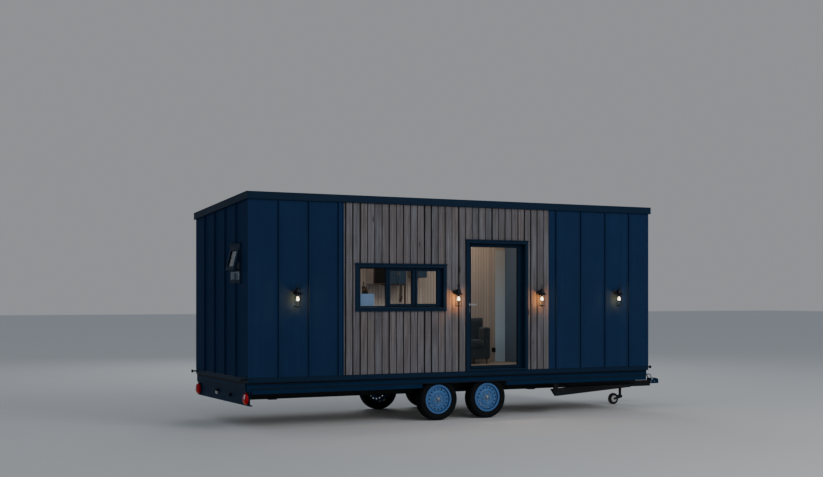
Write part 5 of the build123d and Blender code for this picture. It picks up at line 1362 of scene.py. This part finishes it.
class TINYHOUSE_OT_wheels(bpy.types.Operator):
    """Mould the tyres with their grooves and ribs, and add bolts, cap rings and valves to the wheels."""

    bl_idname = "tinyhouse.wheels"
    bl_label = "Wheels and tyres"

    def execute(self, context):
        steel = finish("galvanised")
        for axle, x in AXLES.items():
            for side in ("near", "far"):
                facing = FACING["+y"] if side == "near" else FACING["-y"]
                y = WHEEL_CENTRE if side == "near" else WIDTH - WHEEL_CENTRE
                place = at(x, y, TYRE_RADIUS) @ facing
                body = f"wheel_{axle}_{side}"
                bm = bmesh.new()
                stamp(bm, self.tyre(), place)
                new_piece(f"tyre_tread_{axle}_{side}", bm, body, "tyre", finish("tyre"), smooth=35,
                          stands_for=(f"tyre_{axle}_{side}",))
                bm = bmesh.new()
                angles = [math.radians(90 + 72 * step) for step in range(5)]
                bolts = [place @ at(math.cos(a) * 0.060, math.sin(a) * 0.060, -HUB_FACE) @ FACING["-z"]
                         for a in angles]
                stamp(bm, hex_bolt(0.0110, 0.0150, 0.0135), *bolts)
                ring = turned([(0.0300, 0), (0.0345, 0), (0.0345, -0.0025), (0.0315, -0.0040),
                               (0.0300, -0.0040)], 36)
                stamp(bm, ring, place @ at(0, 0, -HUB_FACE))
                dome = turned([(0, -0.0245), (0.0100, -0.0243), (0.0190, -0.0232), (0.0245, -0.0212),
                               (0.0262, -0.0190),
                               (0.0268, -0.0150)], 36)
                stamp(bm, dome, place @ at(0, 0, -HUB_FACE))
                valve = turned([(0, 0.030), (0.0032, 0.030), (0.0034, 0.020), (0.0026, 0.019),
                                (0.0045, 0.004),
                                (0.0055, 0)], 14)
                stamp(bm, valve, place @ at(0.188, 0.0, -0.050) @ turn(168, "Y"))
                new_piece(f"wheel_bolts_{axle}_{side}", bm, body, "galvanised", steel, smooth=40)
        return {"FINISHED"}

    @staticmethod
    def tyre():
        """One tyre with its axle upright, beads closed towards the rim."""
        half = [(0.2045, 0.0715), (0.2285, 0.0717), (0.2300, 0.0790), (0.2360, 0.0872), (0.2450, 0.0935),
                (0.2560, 0.0978),
                (0.2610, 0.0996), (0.2640, 0.0996), (0.2660, 0.0982), (0.2780, 0.0990), (0.2900, 0.0982),
                (0.2990, 0.0962),
                (0.3010, 0.0976), (0.3040, 0.0972), (0.3060, 0.0945), (0.3140, 0.0905), (0.3205, 0.0850),
                (0.3255, 0.0775), (0.3280, 0.0700), (0.3294, 0.0560), (0.3225, 0.0545), (0.3225, 0.0475),
                (0.3297, 0.0460), (0.3300, 0.0200), (0.3228, 0.0185), (0.3228, 0.0115), (0.3300, 0.0100)]
        profile = [(r, -h) for r, h in half] + [(r, h) for r, h in reversed(half)]
        profile.append(profile[0])
        steps = 96
        shape = turned(profile, steps)
        slots = []
        for face in shape.faces:
            centre = face.calc_center_median()
            radius = math.hypot(centre.x, centre.y)
            number = round(math.atan2(centre.y, centre.x) / FULL_TURN * steps - 0.5) % steps
            block = 0.0470 < abs(centre.z) < 0.0810 and radius > 0.3205
            middle = abs(centre.z) < 0.0100 and radius > 0.3290
            if (block and number % 3 == 0) or (middle and number % 4 == 1):
                slots.append(face)
        moved = bmesh.ops.extrude_discrete_faces(shape, faces=slots)["faces"]
        verts = [vert for face in moved for vert in face.verts]
        for vert in verts:
            vert.co.xy = vert.co.xy * (1 - 0.0045 / vert.co.xy.length)
        return shape


class TINYHOUSE_OT_running_gear(bpy.types.Operator):
    """Bolt up the chassis rails and fit the rear lamps' bezels, plate lamp, socket and coupling bolts."""

    bl_idname = "tinyhouse.running_gear"
    bl_label = "Chassis fittings"

    def execute(self, context):
        rail = 0.050
        bm = bmesh.new()
        spots = [0.08, 0.963, 1.847, 2.730, 4.505, 5.383, 6.262, 7.140]
        bolts = [at(x, y, z) @ FACING[side] for x in spots for z in (0.574, 0.632)
                 for y, side in ((rail, "-y"), (WIDTH - rail, "+y"))]
        stamp(bm, hex_bolt(0.0075, 0.0065, 0.0105), *bolts)
        new_piece("rail_bolts", bm, "house", "chassis_steel", finish("chassis_steel"), smooth=40)

        # Painted shadow: thin black strips in the rails' groove and under the flashing's lower edge, along
        # both sides and across the rear end, stand in for the shade in these recesses.
        bm = bmesh.new()
        for y0, y1 in ((rail - 0.0015, rail + 0.001), (WIDTH - rail - 0.001, WIDTH - rail + 0.0015)):
            for z0, z1 in ((0.588, 0.600), (0.662, BODY_LOW.z)):
                add_block(bm, (0.052, y0, z0), (LENGTH - 0.002, y1, z1))
        for z0, z1 in ((0.588, 0.600), (0.662, BODY_LOW.z)):
            add_block(bm, (-0.0012, 0.102, z0), (0.001, WIDTH - 0.102, z1))
        new_piece("rail_painted_shadow_strips", bm, "house", "solid_rubber", finish("gasket"))

        bm = bmesh.new()
        board, lamp_z = 0.030, 0.455
        lamps = [at(board, y, lamp_z) @ FACING["-x"] for y in (0.103, WIDTH - 0.103)]
        stamp(bm, turned([(0.0835, 0), (0.0920, 0), (0.0930, 0.004), (0.0915, 0.011), (0.0875, 0.014),
                          (0.0835, 0.014)], 48),
              *lamps)
        stamp(bm, turned([(0, 0.032), (0.020, 0.032), (0.023, 0.029), (0.023, 0.010), (0.030, 0.008),
                          (0.030, 0)], 28),
              at(board, 0.851, 0.463) @ FACING["-x"])
        add_block(bm, (board - 0.034, 1.420, 0.480), (board, 1.530, 0.512), 0.004, 2)
        for y in (0.62, 0.78, 1.72, 1.88):
            stamp(bm, screw(0.005), at(board, y, 0.535) @ FACING["-x"])
        new_piece("rear_lamp_bezels", bm, "house", "solid_rubber", finish("gasket"), smooth=40)

        bm = bmesh.new()
        add_prism(bm, [(board - 0.032, 1.444, 0.481), (board - 0.028, 1.444, 0.436),
                       (board - 0.004, 1.444, 0.430),
                       (board - 0.004, 1.444, 0.481)], (0, 0.062, 0), 0.002)
        new_piece("plate_lamp_lens", bm, "house", "fridge_white", finish("white_plastic"))

        bm = bmesh.new()
        for x in (8.175, 8.255):
            for y, side in ((1.205, "-y"), (1.295, "+y")):
                stamp(bm, hex_bolt(0.0085, 0.0070, 0.0120), at(x, y, 0.385) @ FACING[side])
        stamp(bm, turned([(0.031, 0.0), (0.0335, 0.002), (0.0335, 0.010), (0.0292, 0.012)], 32),
              at(7.510, 1.250, 0.300) @ FACING["-z"] @ at(0, 0, -0.012))
        new_piece("coupling_bolts", bm, "house", "galvanised", finish("galvanised"), smooth=40)

        bm = bmesh.new()
        low, high = node_box("jockey_wheel")
        middle = Vector(((low.x + high.x) / 2, (low.y + high.y) / 2, (low.z + high.z) / 2))
        for side, sign in (("-y", -1), ("+y", 1)):
            hub = turned([(0.0560, 0), (0.0560, 0.0020), (0.0500, 0.0030), (0.0460, 0.0018), (0.0220, 0.0018),
                          (0.0190, 0.0036), (0.0100, 0.0036), (0.0100, 0.0)], 36)
            stamp(bm, hub, at(middle.x, middle.y + sign * 0.0259, middle.z) @ FACING[side])
        new_piece("jockey_hub", bm, "jockey_wheel", "galvanised", finish("white_plastic"), smooth=35)
        return {"FINISHED"}


class TINYHOUSE_OT_rooms(bpy.types.Operator):
    """Line the rooms and fit the cupboards, fridge, bottles and utensils that show through the glass."""

    bl_idname = "tinyhouse.rooms"
    bl_label = "Rooms"

    def execute(self, context):
        pitch = context.scene.tiny_house_boards.lining_pitch
        lining = finish("wall_lining")
        back = WIDTH - WALL
        skin = 0.009
        bm = bmesh.new()
        shift = (-CORNER.x - CORNER.y - back) % pitch
        x, last = WALL + 0.001, LENGTH - WALL - 0.001
        top = fascia_top(back) - 0.101
        step = 0
        while x < last:
            step += 1
            end = min(last, shift + step * pitch)
            if end - x < 0.004:
                continue
            for span in self.free_spans(x, end):
                add_block(bm, (span[0] + 0.0015, back - skin, SILL), (span[1] - 0.0015, back + 0.0005, top),
                          0.0025)
            x = end
        new_piece("room_boards", bm, "house", "wall_lining", lining)

        bm = bmesh.new()
        for x0, x1 in ((WALL, 5.760), (5.820, LENGTH - WALL)):
            corners = [(x0, y, fascia_top(y) - drop) for y, drop in
                       ((WALL, 0.101), (back, 0.101), (back, 0.113), (WALL, 0.113))]
            add_prism(bm, corners, (x1 - x0, 0, 0))
        new_piece("room_ceiling", bm, "house", "wall_lining", lining)

        # A pale board beside the partition, in the bluish paint whose bright foot is painted cool light
        # falling on the back wall.
        bm = bmesh.new()
        add_block(bm, (5.552, back - skin - 0.010, SILL), (5.7595, back - skin, 2.780), 0.002)
        new_piece("passage_panel_painted_light", bm, "house", "wall_lining", finish("pale_paint_with_painted_cool_light"))

        bm = bmesh.new()
        black, walnut_skin, pale = 0, 1, 2
        x0, x1, z0, z1, front = 2.957, 3.218, 2.147, 2.7505, back - 0.323
        add_block(bm, (x0, front, z0 + 0.003), (x1, back - skin, z1), 0.001, index=pale)
        add_block(bm, (x0 + 0.001, front + 0.001, z0), (x1 - 0.001, back - skin, z0 + 0.004),
                  index=walnut_skin)
        add_ring(bm, (x0, x1), (z0, z1), (front - 0.008, front), 0.018, bevel=0.001, index=walnut_skin)
        add_block(bm, (x0 + 0.017, front - 0.003, z0 + 0.017), (x1 - 0.017, front + 0.001, z1 - 0.017), 0.001,
                  index=black)
        new_piece("corner_cabinet", bm, "house", "cabinet_blue", finish("cabinet_black"), finish("walnut"),
                  lining)

        bm = bmesh.new()
        front = back - 0.320
        for x0, x1, z0 in ((3.255, 3.418, 2.150), (3.420, 3.580, 2.150), (3.780, 3.980, 2.265)):
            add_block(bm, (x0 + 0.002, front - 0.018, z0 + 0.003), (x1 - 0.002, front - 0.001, 2.747), 0.002)
            add_ring(bm, (x0 + 0.002, x1 - 0.002), (z0 + 0.003, 2.747), (front - 0.022, front - 0.017), 0.045,
                     bevel=0.001)
        new_piece("cabinet_doors", bm, "house", "cabinet_blue", finish("cabinet_blue"))

        bm = bmesh.new()
        for x, z in ((3.255, 2.150), (3.780, 2.265)):
            add_block(bm, (x - 0.003, front - 0.001, z), (x, back - skin, 2.749))
        new_piece("cabinet_sides", bm, "house", "wall_lining", lining)

        bm = bmesh.new()
        add_block(bm, (3.256, front - 0.012, 2.134), (3.579, back - skin, 2.149), 0.002)
        new_piece("cabinet_pelmet", bm, "house", "cabinet_blue", finish("walnut"))

        bm = bmesh.new()
        for x in (3.400, 3.438, 3.800):
            add_rod(bm, (x, front - 0.036, 2.290), (x, front - 0.036, 2.390), 0.004, 10)
            for z in (2.300, 2.380):
                add_rod(bm, (x, front - 0.036, z), (x, front - 0.020, z), 0.003, 8)
        add_rod(bm, (2.820, 1.775, 1.20), (2.820, 1.775, 1.62), 0.007, 12)
        for z in (1.24, 1.58):
            add_rod(bm, (2.820, 1.776, z), (2.820, 1.799, z), 0.005, 10)
        new_piece("kitchen_handles", bm, "house", "satin_steel", finish("satin_steel"), smooth=40)

        bm = bmesh.new()
        for z0, z1 in ((0.800, 1.292), (1.300, 1.976)):
            add_block(bm, (2.252, 1.786, z0), (2.848, 1.801, z1), 0.006, 2)
        add_block(bm, (2.256, 1.801, 1.9795), (2.844, 2.370, 1.9845), 0.002)
        new_piece("fridge_doors", bm, "house", "fridge_white", finish("fridge_white"), smooth=40)

        bm = bmesh.new()
        shelf = 1.9845
        tall = turned([(0, 0), (0.027, 0), (0.030, 0.003), (0.030, 0.105), (0.026, 0.122), (0.013, 0.142),
                       (0.010, 0.150),
                       (0.010, 0.185), (0.012, 0.187), (0.012, 0.198), (0, 0.198)], 24)
        short = turned([(0, 0), (0.026, 0), (0.028, 0.003), (0.028, 0.075), (0.024, 0.090), (0.012, 0.104),
                        (0.010, 0.112),
                        (0.010, 0.126), (0, 0.126)], 24)
        stamp(bm, tall, at(2.776, 2.050, shelf))
        stamp(bm, short, at(2.812, 2.020, shelf))
        new_piece("bottles", bm, "house", "lantern_black", finish("bottle"), smooth=40)

        bm = bmesh.new()
        wall_face = back - skin
        add_rod(bm, (3.590, wall_face - 0.020, 2.148), (3.700, wall_face - 0.020, 2.148), 0.004, 10)
        for x in (3.600, 3.690):
            add_rod(bm, (x, wall_face - 0.020, 2.148), (x, wall_face, 2.148), 0.004, 8)
        for x, drop, head in ((3.622, 0.250, 0.020), (3.650, 0.205, 0.014)):
            add_rod(bm, (x, wall_face - 0.020, 2.150), (x, wall_face - 0.020, 2.150 - drop), 0.0055, 10)
            paddle = turned([(0, 0.0), (head * 0.7, 0.004), (head, 0.022), (head, 0.050),
                             (head * 0.55, 0.070), (0, 0.074)], 16)
            bmesh.ops.scale(paddle, vec=(1, 0.22, 1), verts=paddle.verts)
            stamp(bm, paddle, at(x, wall_face - 0.020, 2.150 - drop - 0.060))
        add_block(bm, (3.704, wall_face - 0.016, SILL + 0.08), (3.730, wall_face, 2.152), 0.002)
        new_piece("utensils", bm, "house", "lantern_black", finish("walnut"), smooth=40)

        bm = bmesh.new()
        add_block(bm, (5.482, wall_face - 0.010, 0.930), (5.562, wall_face, 1.010), 0.004, 2)
        for x in (5.508, 5.536):
            stamp(bm, turned([(0, 0.001), (0.004, 0.001), (0.006, 0.003), (0.007, 0)], 12),
                  at(x, wall_face - 0.010, 0.970) @ FACING["-y"])
        new_piece("wall_socket", bm, "house", "lantern_black", finish("gasket"), smooth=40)
        return {"FINISHED"}

    @staticmethod
    def free_spans(x0, x1):
        """The parts of one board that the partition doesn't cover."""
        start, end = PARTITION
        spans = []
        if x0 < start:
            spans.append((x0, min(x1, start)))
        if x1 > end:
            spans.append((max(x0, end), x1))
        return [(a, b) for a, b in spans if b - a > 0.006]


class TINYHOUSE_OT_armchair(bpy.types.Operator):
    """Upholster the armchair: a frame on legs, padded arms, seat and back cushion."""

    bl_idname = "tinyhouse.armchair"
    bl_label = "Armchair"

    def execute(self, context):
        cloth = finish("chair_fabric")
        low, high = node_box("armchair")
        x0, x1, y0, y1 = low.x, high.x - 0.012, low.y + 0.060, high.y
        foot, seat, arm = SILL + 0.085, SILL + 0.420, SILL + 0.660
        bm = bmesh.new()
        add_block(bm, (x0 + 0.020, y0 + 0.035, foot), (x1 - 0.020, y1 - 0.060, SILL + 0.275), 0.018, 3)
        add_block(bm, (x0 + 0.010, y1 - 0.220, SILL + 0.20), (x1 + 0.010, y1 - 0.060, high.z - 0.090), 0.040,
                  4)
        new_piece("chair_frame", bm, "house", "chair_fabric", cloth, smooth=40, stands_for=("armchair",))

        bm = bmesh.new()
        leg = turned([(0, 0.090), (0.021, 0.090), (0.020, 0.075), (0.012, 0.0), (0, 0.0)], 20)
        stamp(bm, leg, *[at(x, y, SILL) for x in (x0 + 0.06, x1 - 0.06) for y in (y0 + 0.07, y1 - 0.12)])
        new_piece("chair_legs", bm, "house", "chair_fabric", finish("walnut"), smooth=40)

        for name, box, swell in (
            ("chair_seat_cushion",
             ((x0 + 0.130, y0 + 0.012, SILL + 0.278), (x1 - 0.130, y1 - 0.385, seat - 0.010)), 0.016),
            ("chair_back_cushion",
             ((x0 + 0.012, y1 - 0.380, seat - 0.150), (x1 + 0.002, y1 - 0.200, high.z - 0.004)), 0.016),
            ("chair_arm_left",
             ((x0 + 0.010, y0 + 0.010, foot + 0.005), (x0 + 0.122, y1 - 0.370, arm - 0.010)), 0.010),
            ("chair_arm_right",
             ((x1 - 0.122, y0 + 0.010, foot + 0.005), (x1 - 0.010, y1 - 0.370, arm - 0.010)), 0.010),
        ):
            self.cushion(context, name, box, swell, cloth)
        return {"FINISHED"}

    @staticmethod
    def cushion(context, name, box, swell, cloth):
        """A soft block, puffed up by a short cloth simulation."""
        bm = bmesh.new()
        add_block(bm, *box, bevel=0.030, segments=4)
        piece = new_piece(name, bm, "house", "chair_fabric", cloth, smooth=80)
        puff(context, piece, swell)


def puff(context, piece, swell):
    """Swells a closed shape like stuffed cloth, by no more than the given distance."""
    remesh = piece.modifiers.new("even_mesh", "REMESH")
    remesh.mode = "VOXEL"
    remesh.voxel_size = 0.010
    bake_mesh(context, piece)
    rest = [vert.co.copy() for vert in piece.data.vertices]
    cloth = piece.modifiers.new("stuffing", "CLOTH")
    settings = cloth.settings
    settings.quality = 4
    settings.use_pressure = True
    settings.uniform_pressure_force = 4.0
    settings.effector_weights.gravity = 0.0
    settings.tension_stiffness = 12.0
    settings.compression_stiffness = 12.0
    settings.bending_stiffness = 0.6
    cloth.point_cache.frame_start = 1
    cloth.point_cache.frame_end = 20
    for number in range(1, 21):
        context.scene.frame_set(number)
    bake_mesh(context, piece)
    context.scene.frame_set(1)
    for vert, start in zip(piece.data.vertices, rest):
        moved = vert.co - start
        if moved.length > swell:
            vert.co = start + moved.normalized() * swell
    piece.data.shade_smooth()


def bake_mesh(context, piece):
    """Applies the piece's modifiers to its mesh."""
    graph = context.evaluated_depsgraph_get()
    mesh = bpy.data.meshes.new_from_object(piece.evaluated_get(graph), preserve_all_data_layers=True,
                                           depsgraph=graph)
    old = piece.data
    piece.modifiers.clear()
    piece.data = mesh
    bpy.data.meshes.remove(old)
    mesh.name = piece.name


def add_lamp(context, light, place, aim):
    """Hangs a light in its place and turns it along a direction."""
    lamp = bpy.data.objects.new(light.name, light)
    lamp.location = place
    lamp.rotation_euler = aim.to_track_quat("-Z", "Y").to_euler()
    context.scene.collection.objects.link(lamp)
    return lamp


class TINYHOUSE_OT_lamplight(bpy.types.Operator):
    """Light the lanterns and the rooms."""

    bl_idname = "tinyhouse.lamplight"
    bl_label = "Lamplight"

    def execute(self, context):
        stage = context.scene.tiny_house_stage
        for number, x in enumerate(LANTERNS):
            light = bpy.data.lights.new(f"lantern_light_{number}", "POINT")
            light.energy = stage.lantern_power
            light.color = finishes().glow
            light.shadow_soft_size = 0.022
            lamp = bpy.data.objects.new(light.name, light)
            lamp.location = CORNER + Vector((x, -LANTERN_REACH, LANTERN_FOOT + 0.105))
            lamp.visible_camera = lamp.visible_transmission = lamp.visible_glossy = False
            context.scene.collection.objects.link(lamp)
        ceiling = FASCIA_HIGH.z - 0.36
        for name, place, aim, size, energy, colour in (
            ("room_light", (3.4, 1.1, ceiling), (3.4, 1.3, 0.0), (3.6, 0.8), stage.room_power,
             (1.0, 0.87, 0.72)),
            ("wall_light", (4.95, 1.85, ceiling + 0.02), (5.05, 2.55, 2.25), (0.8, 0.12),
             stage.room_power * 0.10,
             (1.0, 0.72, 0.50)),
            ("end_room_light", (6.4, 1.2, ceiling), (6.4, 1.3, 0.0), (0.8, 0.8), stage.room_power * 0.12,
             (0.80, 0.88, 1.0)),
        ):
            light = bpy.data.lights.new(name, "AREA")
            light.shape = "RECTANGLE"
            light.size, light.size_y = size
            light.energy = energy
            light.color = colour
            lamp = add_lamp(context, light, CORNER + Vector(place), Vector(aim) - Vector(place))
            lamp.visible_camera = False
        return {"FINISHED"}


class TINYHOUSE_OT_stage(bpy.types.Operator):
    """Set up the pale floor, the soft lights and the camera."""

    bl_idname = "tinyhouse.stage"
    bl_label = "Studio and camera"

    def execute(self, context):
        scene = context.scene
        stage = scene.tiny_house_stage
        bm = bmesh.new()
        bmesh.ops.create_grid(bm, x_segments=1, y_segments=1, size=120.0)
        mesh = bpy.data.meshes.new("studio_floor")
        bm.to_mesh(mesh)
        bm.free()
        floor = bpy.data.objects.new("studio_floor", mesh)
        floor.data.materials.append(material("studio_floor", painted_panel((0.82, 0.82, 0.81), 0.8, 0.04)))
        scene.collection.objects.link(floor)

        world = bpy.data.worlds.new("studio_world")
        world.use_nodes = True
        tree = world.node_tree
        backdrop = tree.nodes["Background"]
        backdrop.inputs["Color"].default_value = (0.78, 0.86, 0.97, 1.0)
        backdrop.inputs["Strength"].default_value = 0.30
        seen = add_node(tree, "ShaderNodeBackground", Color=(0.82, 0.85, 0.90, 1.0), Strength=0.36)
        camera_ray = add_node(tree, "ShaderNodeLightPath").outputs["Is Camera Ray"]
        both = add_node(tree, "ShaderNodeMixShader", Fac=camera_ray, i1=backdrop.outputs[0],
                        i2=seen.outputs[0])
        tree.links.new(both.outputs[0], tree.nodes["World Output"].inputs["Surface"])
        scene.world = world

        for name, place, aim, size, energy in (
            ("key_light", (7.0, -17.0, 11.0), (0.5, -1.2, 1.5), 9.0, 900.0),
            ("fill_light", (-3.0, -18.0, 6.0), (1.0, -1.2, 1.5), 9.0, 260.0),
            ("back_light", (4.0, 14.0, 10.0), (0.0, 1.2, 2.0), 8.0, 320.0),
        ):
            light = bpy.data.lights.new(name, "AREA")
            light.size = size
            light.energy = energy
            add_lamp(context, light, place, Vector(aim) - Vector(place))

        lens = bpy.data.cameras.new("photo_camera")
        lens.sensor_width = 36.0
        lens.lens = stage.focal
        lens.shift_y = stage.shift
        lens.clip_end = 400.0
        camera = bpy.data.objects.new("photo_camera", lens)
        camera.location = CORNER + Vector(stage.eye)
        camera.rotation_euler = (math.pi / 2, 0.0, -math.atan2(stage.heading[0], stage.heading[1]))
        scene.collection.objects.link(camera)
        scene.camera = camera
        return {"FINISHED"}


OPERATORS = (
    TINYHOUSE_OT_finish_frame,
    TINYHOUSE_OT_sheet_trims,
    TINYHOUSE_OT_timber_boards,
    TINYHOUSE_OT_window_fittings,
    TINYHOUSE_OT_door_fittings,
    TINYHOUSE_OT_rear_window,
    TINYHOUSE_OT_lanterns,
    TINYHOUSE_OT_wheels,
    TINYHOUSE_OT_running_gear,
    TINYHOUSE_OT_rooms,
    TINYHOUSE_OT_armchair,
    TINYHOUSE_OT_lamplight,
    TINYHOUSE_OT_stage,
)
SETTINGS = {
    "tiny_house_finishes": TinyHouseFinishes,
    "tiny_house_boards": TinyHouseBoards,
    "tiny_house_trims": TinyHouseTrims,
    "tiny_house_stage": TinyHouseStage,
}


class TINYHOUSE_PT_panel(bpy.types.Panel):
    """Sidebar list of the house's settings and makers."""

    bl_idname = "TINYHOUSE_PT_panel"
    bl_label = "Tiny House"
    bl_space_type = "VIEW_3D"
    bl_region_type = "UI"
    bl_category = "Tiny House"

    def draw(self, context):
        layout = self.layout
        for group in SETTINGS:
            settings = getattr(context.scene, group)
            box = layout.box()
            for name in settings.bl_rna.properties.keys():
                if name not in ("rna_type", "name"):
                    box.prop(settings, name)
        for operator in OPERATORS:
            layout.operator(operator.bl_idname)


CLASSES = (*SETTINGS.values(), *OPERATORS, TINYHOUSE_PT_panel)


def register():
    for cls in CLASSES:
        bpy.utils.register_class(cls)
    for name, group in SETTINGS.items():
        setattr(bpy.types.Scene, name, bpy.props.PointerProperty(type=group))


def unregister():
    for name in SETTINGS:
        delattr(bpy.types.Scene, name)
    for cls in reversed(CLASSES):
        bpy.utils.unregister_class(cls)


def main():
    register()
    bpy.ops.tinyhouse.finish_frame()
    bpy.ops.tinyhouse.sheet_trims()
    bpy.ops.tinyhouse.timber_boards()
    bpy.ops.tinyhouse.window_fittings()
    bpy.ops.tinyhouse.door_fittings()
    bpy.ops.tinyhouse.rear_window()
    bpy.ops.tinyhouse.lanterns()
    bpy.ops.tinyhouse.wheels()
    bpy.ops.tinyhouse.running_gear()
    bpy.ops.tinyhouse.rooms()
    bpy.ops.tinyhouse.armchair()
    bpy.ops.tinyhouse.lamplight()
    bpy.ops.tinyhouse.stage()


if __name__ == "__main__":
    main()
